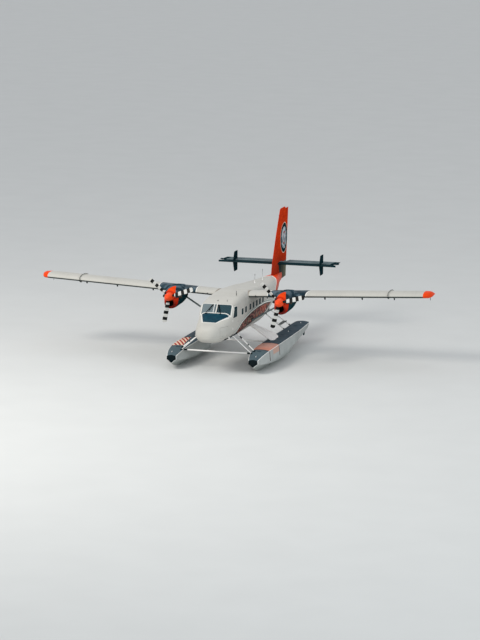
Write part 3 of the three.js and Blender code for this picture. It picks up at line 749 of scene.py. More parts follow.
def sash(f, base):
    """The dark sash that sweeps up each side, mottled and dark-edged, with a pale line above."""
    under = f.follow(f.y, SASH_TOP) - f.z
    over = f.z - f.follow(f.y, SASH_FOOT)
    reach = f.math("MINIMUM", under, over)
    length = f.between(f.y, *SASH_SPAN) & (abs(f.x) > 0.5)
    colour = f.mix(f.cloud(4.2, 5, 0.53, 0.58, (1, 1, 2.4)) * 0.8, MAROON, ROSE)
    colour = f.mix(f.cloud(3.0, 4, 0.54, 0.58, (1, 0.7, 2.6)) * 0.6, colour, ASH)
    colour = f.mix(f.spread(f.y, 0.6, 3.0) * f.cloud(4.0, 3, 0.42, 0.56) * 0.85, colour, RUST)
    colour = f.mix(f.cloud(11, 4, 0.54, 0.6) * 0.75, colour, rgb(44, 20, 20))
    beside = (over > 0) & length
    base = f.mix(f.between(under, -0.085, -0.055) & beside, base, rgb(96, 140, 140))
    base = f.mix(f.between(under, -0.055, 0.0) & beside, base, TRIM_WHITE)
    base = f.mix((reach > 0.0) & length, base, rgb(34, 26, 26))
    return f.mix((reach > 0.045) & length, base, colour)


def glare_panel(f, base):
    """The dark panel ahead of the windscreen with its pale outline."""
    def area(grow):
        left, right = GLARE_FRONT
        corners = [(-0.655 - grow, -2.775 + grow), (-0.655 - grow, -2.83), (left - grow, -3.66 - grow),
                   (right + grow, -3.68 - grow), (0.67 + grow, -2.88 - grow), (0.67 + grow, -2.775 + grow)]
        return f.polygon(f.x, f.y, corners) & (f.z > -0.85)
    base = f.mix(area(0.045), base, rgb(216, 214, 208))
    return f.mix(area(0.0), base, f.mix(f.cloud(5, 3, 0.4, 0.6), NAVY, rgb(12, 62, 76)))


def body_paint():
    """White, with the side sash, the glare panel, painted shade along the belly's lower edge, and the orange
    tail, which darkens downward into painted shade.
    """
    f = Finish("white_paint", 0.45, specular=0.05)
    base = f.weather(WHITE, 0.16, GRIME, 0.9)
    streaks = f.cloud(5.0, 4, 0.55, 0.8, (1, 0.15, 0.6)) * f.spread(f.z, -0.9, -1.6)
    base = f.mix(streaks * 0.35, base, rgb(120, 116, 106))
    base = glare_panel(f, sash(f, base))
    # Painted shade: a near-black band where the belly turns under, ahead of the front struts
    belly = (f.z < f.follow(f.y, BELLY_SHADE_TOP)) & f.between(f.y, *BELLY_SHADE_SPAN) & (abs(f.x) > 0.5)
    base = f.mix(belly, base, rgb(16, 26, 26))
    past = f.y - SWOOSH_START + abs(f.x) * 1.55 + ((-0.15 - f.z) | 0.0) * 1.3
    # Painted shade: the tail's orange darkens to brown-red lower down on the tail cone
    swoosh_and_shade = f.mix(f.spread(f.z, -0.15, -0.75), ORANGE, rgb(150, 62, 36))
    aft = f.y > 5.6
    base = f.mix(aft & (past > -0.14), base, TRIM_WHITE)
    base = f.mix(aft & (past > 0.0), base, swoosh_and_shade)
    lines = f.seams(f.y, 0.58, 0.006) | f.between(f.z, -0.262, -0.257) | f.between(f.z, -1.262, -1.257)
    rivets = f.seams(f.y, 0.04, 0.012) & f.seams(f.z, 0.28, 0.010)
    f.rough(0.33, 0.5)
    f.bump(1.0 - (lines | rivets * 0.4), 0.002, 0.35)
    return f.done(f.mix(lines * 0.3, base, LINE_GREY))


def wing_paint():
    """White with the dark band each side of the engine and the orange tips."""
    f = Finish("wing_paint", 0.45, specular=0.04)
    out = abs(f.x)
    low, high = (f.y * WING_BAND_LEAN + edge for edge in WING_BAND)
    dark = f.mix(f.cloud(2.5, 4, 0.4, 0.6), SLATE, SLATE_DEEP)
    # Painted highlights: pale patches scattered over the dark band
    dark = f.mix(f.cloud(3.2, 5, 0.52, 0.62, (1, 0.6, 1)) * 0.7, dark, SLATE_HIGHLIGHT)
    base = f.weather(WHITE, 0.16, GRIME, 0.7)
    base = f.mix((out > low - 0.035) & (out < high + 0.035), base, rgb(240, 238, 232))
    base = f.mix((out > low) & (out < high), base, dark)
    base = f.mix(out > TIP_PAINT, base, ORANGE)
    stain = f.between(out, 2.35, 3.25) & (f.y > 0.3)
    base = f.mix(stain * f.cloud(3.0, 4, 0.45, 0.8, (2, 0.3, 1)) * 0.35, base, BLACK)
    level = f.z - WING_RISE - out * DIHEDRAL
    # Painted shade under the leading edge, dark grey; it also stands for a de-icing boot
    base = f.mix((level < -0.012) & (f.y < 0.16) & (out < TIP_PAINT), base, rgb(50, 60, 60))
    lines = f.seams(out, 0.61, 0.005) | f.between(f.y, 0.262, 0.267) | f.between(f.y, 0.93, 0.935)
    f.rough(0.35, 0.5)
    f.bump(1.0 - lines, 0.002, 0.35)
    return f.done(f.mix(lines * 0.28, base, LINE_GREY))


def nacelle_paint():
    """Dark blue-grey with the orange leaf on the cowl's upper front and an orange chin; painted highlights on
    top, painted shade on the lower sides and under the chin.
    """
    f = Finish("nacelle_paint", 0.5, specular=0.0)
    off = f.x - f.math("SIGN", f.x) * ENGINE_X
    leaf = (abs(off - 0.06) < f.follow(f.y, LEAF)) & (f.y < -0.435) & (f.z > 0.1)
    front = f.y < -1.165
    chin = (f.y < f.z * 0.35 - 0.86) & (f.z < -0.03)
    dark = f.mix(f.cloud(3.5, 4, 0.4, 0.62), SLATE, SLATE_DEEP)
    # Painted highlights: pale patches on the nacelle's top
    dark = f.mix(f.cloud(3.0, 4, 0.46, 0.6, (1, 0.7, 1)) * f.spread(f.z, 0.12, 0.3) * 0.8, dark, SLATE_HIGHLIGHT)
    # Painted shade: the slate turns a darker teal on the lower sides
    dark = f.mix(f.spread(f.z, 0.12, -0.1), dark, rgb(16, 50, 56))
    # Painted shade: the orange-red of the nose and chin darkens downward
    red = f.mix(f.spread(f.z, -0.1, -0.42), rgb(206, 52, 22), CHIN_SHADE_RED)
    colour = f.mix(front | chin, f.mix(leaf, dark, ORANGE), red)
    lines = f.between(f.y, -0.905, -0.892) | f.between(f.y, -0.345, -0.33) | f.between(f.z, -0.056, -0.044)
    f.rough(0.33, 0.5)
    f.bump(1.0 - lines, 0.003, 0.5)
    return f.done(f.mix(lines * 0.7, f.weather(colour, 0.1), BLACK))


def fin_paint():
    """Orange-red, with a plain ring and pale field across fin and rudder, and a dark grey foot below the
    tailplane, partly paint and partly painted shade.
    """
    f = Finish("fin_paint", 0.45, specular=0.0)
    base = f.mix(f.cloud(1.3, 3, 0.35, 0.7), rgb(200, 56, 22), rgb(178, 44, 16))
    base = f.mix(f.cloud(9, 3, 0.5, 0.8), base, ORANGE)
    base = f.mix(f.spread(f.z, 1.3, 0.1) * 0.8, base, rgb(150, 44, 26))
    dy, dz = f.y - ROUNDEL[0], f.z - ROUNDEL[1]
    away = f.math("SQRT", dy * dy + dz * dz)
    field = f.mix(f.cloud(5, 3, 0.42, 0.58), rgb(190, 198, 202), rgb(96, 116, 126))
    field = f.mix(f.between(away, 0.27, 0.34), field, rgb(150, 66, 52))
    for radius, colour in ((0.8, rgb(226, 206, 186)), (0.765, rgb(4, 44, 50)), (0.57, field)):
        base = f.mix(away < radius, base, colour)
    # The grey foot is partly paint and partly painted shade of the tailplane, darkest at its front
    grey = f.mix(f.spread(f.y, 8.9, 9.9), rgb(52, 62, 60), rgb(112, 112, 96))
    base = f.mix((f.z < 0.33) & (f.y + f.z * 0.4 > 8.62), base, grey)
    tab = f.between(f.y - (f.z * 0.145 + 9.71), -0.018, 0.018)
    f.bump(1.0 - (f.seams(f.z, 0.42, 0.005) | tab), 0.002, 0.35)
    f.rough(0.35, 0.5)
    return f.done(f.mix(tab * 0.75, f.weather(base, 0.06), rgb(70, 20, 12)))


def blade_paint(name, hub_x, first):
    """Black and white bands across a blade."""
    f = Finish(name, 0.5, specular=0.04)
    dx, dz = f.x - hub_x, f.z - THRUST
    away = f.math("SQRT", dx * dx + dz * dz)
    white = ((away - first) % BAND_PITCH > BAND_PITCH / 2) & (away > 0.3)
    f.rough(0.35, 0.55, 8)
    f.bump(f.noise(40, 3), 0.0006)
    return f.done(f.weather(f.mix(white, BLACK, BONE), 0.1, rgb(120, 112, 100), 6))


def float_sides(f, side):
    """Light grey, stained along the waterline, with the port float's own panel."""
    sides = f.weather(FLOAT_GREY, 0.3, rgb(116, 118, 114), 1.4)
    wet = f.spread(f.z + f.noise(1.5, 4) * 0.2, -2.62, -2.78)
    sides = f.mix(wet * 0.5, sides, rgb(112, 122, 116))
    sides = f.mix(f.y < -3.23, sides, rgb(214, 216, 212))
    if side < 0:
        return sides
    sides = f.mix((f.z > -2.5) & f.between(f.y, -1.3, -0.24), sides, rgb(196, 160, 146))
    posts = (f.between(f.y, -1.88, -1.8) | f.between(f.y, -0.28, -0.2)) & (f.z > -2.72)
    return f.mix(posts, sides, rgb(74, 50, 46))


def float_paint(side):
    """Grey sides and a blue-grey deck with, ahead of the main struts, this float's own panel."""
    f = Finish(f"float_paint_{dict(SIDES)[side]}", 0.55, specular=0.04)
    deck = f.z > f.follow(f.y, DECK_EDGE)
    deck_colour = f.mix(f.spread(f.y, -2.2, 1.0), DECK, DECK_AFT)
    deck_colour = f.weather(deck_colour, 0.25, rgb(40, 48, 58), 1.6)
    start, end = PANELS[side]
    zone = f.between(f.y, start, end)
    if side > 0:
        panel = f.mix(f.cloud(1.6, 3, 0.35, 0.65), SALMON, rgb(196, 124, 102))
        rim = f.between(f.y, start - 0.09, end + 0.09)
    else:
        stripes = (f.x + f.y * 0.48) % STRIPE < STRIPE / 2
        panel = f.mix(stripes, CREAM, rgb(176, 40, 34))
        zone = rim = zone & (f.x + f.y * 0.09 < -2.05)
    deck_colour = f.mix(rim, deck_colour, rgb(34, 40, 48))
    deck_colour = f.mix(zone, deck_colour, f.weather(panel, 0.15, scale=4))
    lines = f.seams(f.y, 0.62, 0.006) & (1.0 - deck)
    f.bump(1.0 - lines + f.noise(160, 2) * deck * 0.35, 0.003, 0.4)
    f.rough(0.45, 0.7)
    return f.done(f.mix(lines * 0.3, f.mix(deck, float_sides(f, side), deck_colour), rgb(96, 98, 98)))


def tail_paint():
    """Grey aft, near-black over the front of the tailplane and at the tips."""
    f = Finish("tail_paint", 0.5, specular=0.0)
    base = f.mix(f.cloud(2, 3, 0.4, 0.65), rgb(120, 134, 138), rgb(98, 114, 118))
    dark = (f.y < TAIL_NOSE + 0.3) | f.between(f.y, TAIL_CUT - 0.06, TAIL_CUT + 0.02)
    dark = dark | (f.y > ELEVATOR_TAIL - 0.09) | (abs(f.x) > 2.78) | (f.z < TAIL_Z - 0.01)
    f.bump(1.0 - f.seams(abs(f.x), 0.5, 0.005), 0.002, 0.35)
    f.rough(0.38, 0.52)
    return f.done(f.weather(f.mix(dark, base, TEAL_BLACK), 0.08))


def cloth_finish():
    f = Finish("seat_cloth", 0.9)
    f.shader.inputs["Sheen Weight"].default_value = 0.3
    weave = f.add("ShaderNodeTexWave", f.place, bands_direction="DIAGONAL")
    weave.inputs["Scale"].default_value = 60
    f.bump(Value(f, weave.outputs[1]) * 0.3 - f.seams(f.x, 0.11, 0.008), 0.003)
    return f.done(f.mix(f.cloud(12, 3, 0.4, 0.65), rgb(96, 88, 80), rgb(78, 74, 72)))


def glass_finish(name, tint, clear=0.5, index=1.3):
    f = Finish(name, 0.03, specular=0.5)
    f.shader.inputs["IOR"].default_value = index
    f.shader.inputs["Transmission Weight"].default_value = clear
    f.rough(0.02, 0.07, 2.0)
    return f.done(f.weather(tint, 0.06, scale=3))


def lip_paint():
    """The intake's lip, orange-red above and darkening to deep red below as painted shade."""
    f = Finish("lip_paint", 0.45, specular=0.05)
    f.rough(0.35, 0.5)
    f.bump(f.noise(50, 2), 0.0005)
    return f.done(f.weather(f.mix(f.spread(f.z, -0.08, -0.36), rgb(196, 52, 24), rgb(98, 22, 16)), 0.1))


PAINT = body_paint()
WING_PAINT = wing_paint()
NACELLE_PAINT = nacelle_paint()
FIN_PAINT = fin_paint()
TAIL_PAINT = tail_paint()
LIP_PAINT = lip_paint()
STRUT_PAINT = plain("strut_paint", rgb(244, 242, 238), 0.45, grime=0.06, specular=0.2)
FRAME_PAINT = plain("frame_paint", rgb(214, 212, 206), 0.45, grime=0.1, specular=0.1)
LEG_PAINT = plain("leg_paint", rgb(248, 242, 238), 0.5, grime=0.12, specular=0.1)
# The white wing struts are given a dark teal-grey: painted shade with a teal painted reflection
SHADED_STRUT_PAINT = plain("shaded_strut_paint", rgb(112, 126, 128), 0.5, grime=0.15, specular=0.02)
PLATE_PAINT = plain("step_plate_paint", rgb(104, 108, 106), 0.6, grime=0.2, specular=0.02)
ORANGE_PAINT = plain("orange_paint", rgb(238, 74, 22), 0.4, grime=0.05, specular=0.2)
DARK_PAINT = plain("dark_paint", TEAL_BLACK, 0.6, grime=0.04, specular=0.0)
DARK_FITTING = plain("dark_fitting", rgb(20, 34, 38), 0.6, grime=0.06, specular=0.0)
ALUMINIUM = plain("bare_aluminium", rgb(150, 152, 154), 0.35, 0.9, grime=0.2)
STEEL = plain("exhaust_metal", rgb(62, 56, 52), 0.5, 0.8, grime=0.4, scale=9)
RUBBER = plain("bumper_rubber", rgb(14, 26, 30), 0.85, grime=0.04, grain=0.002, grain_scale=120, specular=0.0)
SEAL = plain("black_seal", BLACK, 0.7, grime=0.04, specular=0.0)
HATCH_PAINT = plain("hatch_paint", DECK_AFT, 0.6, grime=0.15, specular=0.02)
LINING = plain("cabin_plastic", rgb(146, 138, 126), 0.7, grain_scale=90)
PANEL_FINISH = plain("panel_black", rgb(34, 36, 38), 0.6)
# Near-black painted shade inside the intake's duct and the exhausts' mouths
DUCT_SHADE = plain("duct_painted_shade", rgb(6, 8, 9), 0.7, grime=0.02, specular=0.0)
CLOTH = cloth_finish()
# The teal tints of the windscreen and cabin glass are partly the glass's own tint and partly painted
# reflection
SCREEN_GLASS = glass_finish("screen_glass", rgb(58, 92, 102), 0.55)
# A paler copy of the windscreen glass: painted reflection on the starboard pane
SCREEN_GLASS_REFLECTING = glass_finish("screen_glass_painted_reflection", rgb(124, 138, 142), 0.3)
CABIN_GLASS = glass_finish("cabin_glass", rgb(16, 50, 58), 0.25, 1.06)
RED_GLASS = glass_finish("red_glass", rgb(190, 20, 12))
GREEN_GLASS = glass_finish("green_glass", rgb(20, 150, 70))
SKIN = [PAINT, LINING]


# Fuselage

def door_outline(door, margin=0.0, lean=0.0):
    start, end = door["start"] + margin, door["end"] - margin - lean
    foot, head = door["foot"] + margin, door["head"] - margin
    lean_from = door["head_from"] + margin
    return [(start, foot), (end, foot), (end, head), (lean_from, head), (start, door["waist"])]


def slab(side, door, margin=0.0, bevel=0.0, radius=CORNER_RADIUS):
    """A door's or window's outline drawn through the body's side; bevel leans the free edge of a door."""
    rings = []
    for x in (0.3, SIDE_X, 1.0):
        lean = bevel * max(0.0, SIDE_X - x)
        outline = rounded_outline(door_outline(door, margin, lean), radius)
        rings.append([(side * x, y, z) for y, z in outline])
    return loft(rings, "flat")


def window_slabs(side, grow=0.0, radius=0.055):
    """The cabin windows of one side, drawn through the body's side."""
    reach = WINDOW_HALF + grow
    foot, head = WINDOW_FOOT - grow, WINDOW_HEAD + grow
    slabs = []
    for y in CABIN_WINDOWS:
        corners = [(y - reach, foot), (y + reach, foot), (y + reach, head), (y - reach, head)]
        slabs.append(prism(rounded_outline(corners, radius + grow), "x", side * 0.7, side))
    return slabs


def screen_pane(side, grow=0.0):
    corners = [(side * (0.036 - grow), -2.753 - grow), (side * (0.745 + grow), -2.75 - grow),
               (side * (0.735 + grow), -2.405 + grow), (side * (0.036 - grow), -2.415 + grow)]
    return prism(rounded_outline(corners, 0.035), "z", -0.8, 0.1)


def nose_hatch(margin):
    length, height = NOSE_DOOR["length"] / 2 - margin, NOSE_DOOR["height"] / 2 - margin
    corners = [(-length, -height), (length, -height), (length, height), (-length, height)]
    turn = Matrix.Rotation(math.radians(NOSE_DOOR["yaw"]), 4, "Z")
    outline = rounded_outline(corners, 0.06)
    return moved(prism(outline, "x", -0.25, 0.25), Matrix.Translation(NOSE_DOOR["centre"]) @ turn)


def touch(obj, side, y, z):
    """Where a level line from one side first meets an object, and which way its surface faces there."""
    bpy.context.view_layer.update()
    start = Vector(np.array((side * 3, y, z)) + DATUM)
    _, spot, normal, _ = obj.ray_cast(start, Vector((-side, 0, 0)))
    return np.array(spot) - DATUM, np.array(normal)


def knob(obj, side, y, z, radius, tall):
    """A low round fitting on an object's side."""
    spot, normal = touch(obj, side, y, z)
    return lathe([(radius, -0.006), (radius, tall * 0.6), (radius * 0.7, tall)], spot, normal, 18)


def handle(obj, side, y, z, length=0.11):
    """A door handle: a grip on two feet."""
    spots = [touch(obj, side, y + d * length, z) for d in (-0.5, -0.42, 0.42, 0.5)]
    path = [spot + normal * lift for (spot, normal), lift in zip(spots, (-0.004, 0.02, 0.02, -0.004))]
    return tube(path, 0.008, 10)


def make_nose():
    shell = carve(solid("nose_skin", [nose_shell()], SKIN), [nose_hatch(0)])
    dress(shell, slot="white_paint", replaces=["nose_shell"])
    door = carve(solid("nose_door", [nose_shell()], SKIN), [nose_hatch(DOOR_GAP)], "INTERSECT")
    dress(door, "nose_baggage_door", "white_paint", ["nose_baggage_door"])
    latches = [knob(door, 1, y, -1.3, 0.016, 0.01) for y in (-3.8, -3.42)]
    piece("nose_door_latches", latches, [ALUMINIUM], "nose_baggage_door", "bare_aluminium")


def make_windscreen():
    for side, hand in SIDES:
        # The starboard pane takes the paler glass as painted reflection
        glass = SCREEN_GLASS if side > 0 else SCREEN_GLASS_REFLECTING
        pane = solid(f"windscreen_glass_{hand}", [body_shell(NOSE_END + 0.001, -2.3, 0.003, 0.011)], [glass])
        carve(pane, [screen_pane(side, -0.0006)], "INTERSECT")
        dress(pane, slot="clear_glass", replaces=["windscreen"] if side > 0 else ())
    frames = solid("windscreen_frame", [body_shell(NOSE_END + 0.002, -2.36, -0.006, 0.002)], [FRAME_PAINT])
    carve(frames, [screen_pane(side, -0.012) for side, _ in SIDES])
    rim = [(-0.79, -2.757), (0.79, -2.757), (0.77, -2.37), (-0.77, -2.37)]
    carve(frames, [prism(rounded_outline(rim, 0.06), "z", -0.8, 0.2)], "INTERSECT")
    dress(frames, slot="white_paint")
    path = [(-0.135, y, -0.364 + (y + 2.745) * 1.1935) for y in (-2.745, -2.59, -2.43)]
    piece("windscreen_bar", [tube(path, 0.014, 10)], [STRUT_PAINT], slot="white_paint")


def make_cockpit():
    holes = [form for side, _ in SIDES for form in (screen_pane(side), slab(side, CREW_DOOR))]
    shell = carve(solid("cockpit_skin", [body_shell(NOSE_END, COCKPIT_END - SEAM)], SKIN), holes)
    dress(shell, slot="white_paint", replaces=["cockpit_shell"])


def make_cabin():
    holes = [form for side, _ in SIDES for form in window_slabs(side) + [slab(side, CABIN_DOOR)]]
    shell = carve(solid("cabin_skin", [body_shell(COCKPIT_END, CABIN_END - SEAM)], SKIN), holes)
    dress(shell, slot="white_paint", replaces=["cabin_shell"])
    for side, hand in SIDES:
        panes = solid(f"cabin_windows_{hand}", [body_shell(-1.3, 2.9, 0.002, 0.009)], [CABIN_GLASS])
        carve(panes, window_slabs(side, -0.0006), "INTERSECT")
        dress(panes, slot="clear_glass", replaces=[f"cabin_glazing_{hand}"])
        rims = solid(f"window_rims_{hand}", [body_shell(-1.4, 3.0, -0.005, 0.003)], [FRAME_PAINT])
        carve(rims, window_slabs(side, 0.02), "INTERSECT")
        dress(carve(rims, window_slabs(side, 0.001)), slot="white_paint")


def make_door(name, side, hand, opening, pane, start, end):
    """A door with its window, rim and handle, and the hinges that stay on the body."""
    body = f"{name}_{hand}"
    door = solid(f"{name}_skin_{hand}", [body_shell(start, end)], SKIN)
    carve(door, [slab(side, opening, DOOR_GAP, DOOR_BEVEL, 0.06)], "INTERSECT")
    dress(carve(door, [slab(side, pane)]), body, "white_paint", [body])
    glass = solid(f"{name}_glass_{hand}", [body_shell(start, end, 0.001, 0.008)], [CABIN_GLASS])
    dress(carve(glass, [slab(side, pane, 0.0006)], "INTERSECT"), body, "clear_glass")
    rim = solid(f"{name}_rim_{hand}", [body_shell(start, end, -0.007, 0.003)], [FRAME_PAINT])
    carve(rim, [slab(side, pane, -RIM, radius=CORNER_RADIUS + RIM)], "INTERSECT")
    dress(carve(rim, [slab(side, pane, -0.0005)]), body, "white_paint")
    grip = handle(door, side, opening["end"] - 0.1, -0.86)
    piece(f"{name}_handle_{hand}", [grip], [ALUMINIUM], body, "bare_aluminium")
    hinges = []
    for z in (-0.72, -1.1):
        spot, _ = touch(door, side, opening["start"] + 0.03, z)
        spot[1] = opening["start"] - 0.004
        hinges.append(tube([spot + [side * 0.004, 0, d] for d in (-0.05, -0.02, 0.02, 0.05)], 0.011, 12))
    piece(f"{name}_hinges_{hand}", hinges, [STRUT_PAINT], slot="white_paint")


def make_tail_cone():
    outside = body_stations(CABIN_END, TAIL_END)[::-1]
    inside = body_stations(CABIN_END, TAIL_END - 0.5)
    rings = [body_ring(TAIL_END, 0.03), body_ring(TAIL_END - 0.02, 0.004)]
    rings += [body_ring(y) for y in outside[1:]] + [body_ring(y, 0.028) for y in inside]
    tones = [0] * (len(outside) + 1) + [1] * (len(inside) - 1)
    piece("tail_cone_skin", [loft(rings, "fan", tones)], SKIN, slot="white_paint", replaces=["tail_cone"])


make_nose()
make_cockpit()
make_windscreen()
make_cabin()
make_tail_cone()
for SIDE, HAND in SIDES:
    make_door("crew_door", SIDE, HAND, CREW_DOOR, CREW_WINDOW, -2.74, -1.6)
    make_door("cabin_door", SIDE, HAND, CABIN_DOOR, CABIN_DOOR_WINDOW, 3.05, 4.1)


# Wings

def wing_front(x):
    """The wing ahead of its moving surfaces, with a thin lip over their noses."""
    points = foil_points(CHORD, 0.16, 1.392 / CHORD, SPAR / CHORD)
    lip = points[-1] - [0, 0.007]
    cove = [SPAR + 0.004, points[-1][1] - 0.002]
    return set_foil(x, np.vstack([points, [lip], [cove]]), 0.0, wing_height(x))


def wing_tip_ring(side, x):
    """The wing's tip section, flattened towards its middle line outside TIP_ROUND."""
    nose, tail, thickness = (smooth_through(WING[1:, 0], c[1:], [x])[0] for c in WING.T[1:])
    over = max(0.0, (x - TIP_ROUND) / (HALF_SPAN - TIP_ROUND))
    shrink = max(0.0, 1 - over ** 2.4) ** 0.45
    points = foil_points(CHORD - nose - tail, thickness)
    middle = np.interp(points[:, 0], [0, CHORD], [0.01, 0.0])
    points[:, 1] = middle + (points[:, 1] - middle) * max(0.03, shrink)
    return set_foil(side * x, points, nose, wing_height(x) - nose * math.sin(INCIDENCE))


def fence_outline(grow):
    """The wing's section grown around the nose and more and more above it, for the stall fence."""
    points = foil_points(CHORD, 0.16, 0.631, 0.12)
    along = points[:, 0].copy()
    lift = np.interp(along, *np.transpose(FENCE_LIFT)) + grow
    points[:, 1] += np.where(points[:, 1] > 0, lift, -0.035 - grow)
    points[:, 0] -= (0.05 + grow) * np.exp(-(along / 0.12) ** 2)
    return np.vstack([points, [[along[-1], 0.06]]])


def hinge_arm(side, x, outline):
    y0, z0 = hinge_line(x)
    smooth = rounded_outline(outline, 0.02, 3)
    return prism([(y0 + y, z0 - FLAP_DROP + z) for y, z in smooth], "x", side * x, side * (x + 0.016))


def make_wing(side, hand):
    forms = [loft([wing_front(side * x) for x in np.linspace(0.62, 9.430, 16)], "flat")]
    spans = 9.432 + (HALF_SPAN - 9.433) * np.sin(np.linspace(0, math.pi / 2, 18))
    forms.append(loft([wing_tip_ring(side, x) for x in spans], "fan"))
    for grow, half_width, tone in ((0.0, 0.010, 0), (0.014, 0.006, 1)):
        faces = [side * FENCE_X + d for d in (-half_width, half_width)]
        outline = fence_outline(grow)
        fence = loft([set_foil(x, outline, 0, wing_height(FENCE_X)) for x in faces], "flat")
        forms.append(toned(fence, tone))
    forms += [toned(hinge_arm(side, x, WING_ARM), 1) for x in ARM_PLACES]
    finishes = [WING_PAINT, DARK_FITTING]
    piece(f"wing_skin_{hand}", forms, finishes, slot="white_paint", replaces=[f"wing_{hand}"], sharp=40)


def surface(side, x0, x1, **section):
    rings = []
    for x in (x0, x1):
        y0, z0 = hinge_line(x)
        points = surface_section(FLAP_NOSE, CHORD - FLAP_HINGE - 0.005, 0.04, **section)
        rings.append([(side * x, y0 + y, z0 + z) for y, z in points])
    return loft(rings, "flat")


def make_surfaces(side, hand):
    """The flap in its two elements with its hinge arms, and the aileron."""
    forms = [surface(side, *FLAP_SPAN, end=0.56), surface(side, *FLAP_SPAN, start=0.572)]
    forms += [hinge_arm(side, x + 0.024, FLAP_ARM) for x in ARM_PLACES]
    flap, aileron = f"flap_{hand}", f"aileron_{hand}"
    piece(f"flap_skin_{hand}", forms, [WING_PAINT], flap, "white_paint", [flap])
    forms = [surface(side, *AILERON_SPAN)]
    piece(f"aileron_skin_{hand}", forms, [WING_PAINT], aileron, "white_paint", [aileron])


def make_wing_centre():
    points = foil_points(CHORD, 0.158, SPAR / CHORD, SPAR / CHORD)
    rings = [set_foil(x, points, 0, wing_height(WING[0, 0])) for x in np.linspace(-0.874, 0.874, 5)]
    piece("wing_centre_skin", [loft(rings, "flat")], [LINING], slot="white_paint", replaces=["wing_centre"])


make_wing_centre()
for SIDE, HAND in SIDES:
    make_wing(SIDE, HAND)
    make_surfaces(SIDE, HAND)


# Engines

def nacelle_ring(side, y, inset=0.0):
    half, top, bottom, t, b = smooth_rows(NACELLE, np.array([y]))[0, 1:]
    radii = max(0.02, t - inset), max(0.02, b - inset)
    return rounded_ring(y, half - inset, top - inset, bottom + inset, *radii) + [side * ENGINE_X, 0, 0]


def make_nacelle(side, hand):
    front, back = NACELLE[0, 0], NACELLE[-1, 0]
    ends = [(front, 0.05), (front, 0.02), (front + 0.004, 0.008)]
    rows = ends + [(y, 0.0) for y in np.linspace(front + 0.015, back - 0.02, 46)]
    rows += [(back - 0.006, 0.012), (back, 0.04)]
    shell = solid(f"nacelle_skin_{hand}", [loft([nacelle_ring(side, *row) for row in rows])], [NACELLE_PAINT])
    centre = (side * ENGINE_X, 0, INTAKE_Z)
    carve(shell, [lathe([(INTAKE_RADIUS, -1.4), (INTAKE_RADIUS, -0.7)], centre, close="flat")])
    dress(shell, slot="slate_paint", replaces=[f"nacelle_{hand}"])


def make_intake(side, hand):
    """The intake's lip, and behind it a short duct closed by a disc, near-black as painted shade."""
    centre = (side * ENGINE_X, 0, INTAKE_Z)
    turns = np.linspace(-0.5 * math.pi, 1.5 * math.pi, 17)[:-1]
    lip = [(INTAKE_RADIUS + 0.05 + 0.052 * math.cos(t), -1.165 + 0.045 * math.sin(t)) for t in turns]
    duct = [(INTAKE_RADIUS - inset, y) for inset, y in DUCT_WALL]
    forms = [lathe(lip, centre, close="loop"), toned(lathe(duct, centre, close="loop"), 1)]
    forms.append(toned(lathe([(0.13, -0.74), (0.13, -0.72)], centre, close="flat"), 1))
    piece(f"intake_{hand}", forms, [LIP_PAINT, DUCT_SHADE], slot="orange_paint")


def make_exhausts(side, hand):
    forms = []
    for out in (-1, 1):
        start = np.array([side * ENGINE_X + out * 0.3, -0.86, 0.02])
        path = [start + [out * x, y, z] for x, y, z in EXHAUST]
        forms.append(tube(path, [0.075, 0.078, 0.07, 0.062], 20))
        # The stub's mouth is near-black: painted shade inside the pipe
        mouth = [path[-1] + [out * .004, .008, -.003], path[-1] + [out * .006, .012, -.005]]
        forms.append(toned(tube(mouth, 0.05, 20), 1))
    piece(f"exhausts_{hand}", forms, [STEEL, DUCT_SHADE], slot="engine_metal")


def blade_ring(reach, chord, thickness, pitch):
    """A blade's section at a distance from the hub, for a blade that points along x."""
    tilt = math.radians(pitch)
    near_tip = max(0.0, (reach - 1.235) / 0.06)
    chord *= math.sqrt(max(0.02, 1 - near_tip ** 2))
    turns = np.linspace(0, 2 * math.pi, 24, endpoint=False)
    across = chord / 2 * np.cos(turns)
    deep = thickness / 2 * np.sin(turns) * (1 - 0.3 * np.cos(turns))
    return np.stack([np.full(24, reach), across * math.sin(tilt) + deep * math.cos(tilt),
                     across * math.cos(tilt) - deep * math.sin(tilt)], -1)


def blade_form(hub, turn):
    reaches = np.concatenate([np.linspace(0.15, 1.235, 22), [1.26, 1.28, 1.29, 1.295]])
    rings = [blade_ring(*row) for row in smooth_rows(BLADE, reaches)]
    spin = Matrix.Translation(hub) @ Matrix.Rotation(-math.radians(turn), 4, "Y")
    return moved(loft(rings), spin)


def make_propeller(side, hand):
    hub = (side * ENGINE_X, PROP_Y, THRUST)
    distances = np.concatenate([np.linspace(-0.42, -0.3, 8), np.linspace(-0.28, 0.128, 16)])
    profile = [(max(0.002, smooth_through(SPINNER[:, 1], SPINNER[:, 0], [d])[0]), d) for d in distances]
    forms = [lathe(profile + [(0.198, 0.134), (0.205, 0.138), (0.205, 0.15)], hub)]
    body = f"propeller_{hand}"
    for turn, _ in BLADES[hand]:
        way = np.array([math.cos(math.radians(turn)), 0, math.sin(math.radians(turn))])
        path = [np.array(hub) + way * reach for reach in (0.12, 0.2, 0.215, 0.23)]
        forms.append(toned(tube(path, [0.058, 0.058, 0.05, 0.048], 20), 1))
    piece(f"spinner_{hand}", forms, [ORANGE_PAINT, DARK_FITTING], body, "orange_paint", [body])
    for number, (turn, first) in enumerate(BLADES[hand]):
        paint = blade_paint(f"blade_{hand}_{number}", side * ENGINE_X, first)
        piece(f"blade_{hand}_{number}", [blade_form(hub, turn)], [paint], body, "dark_paint")


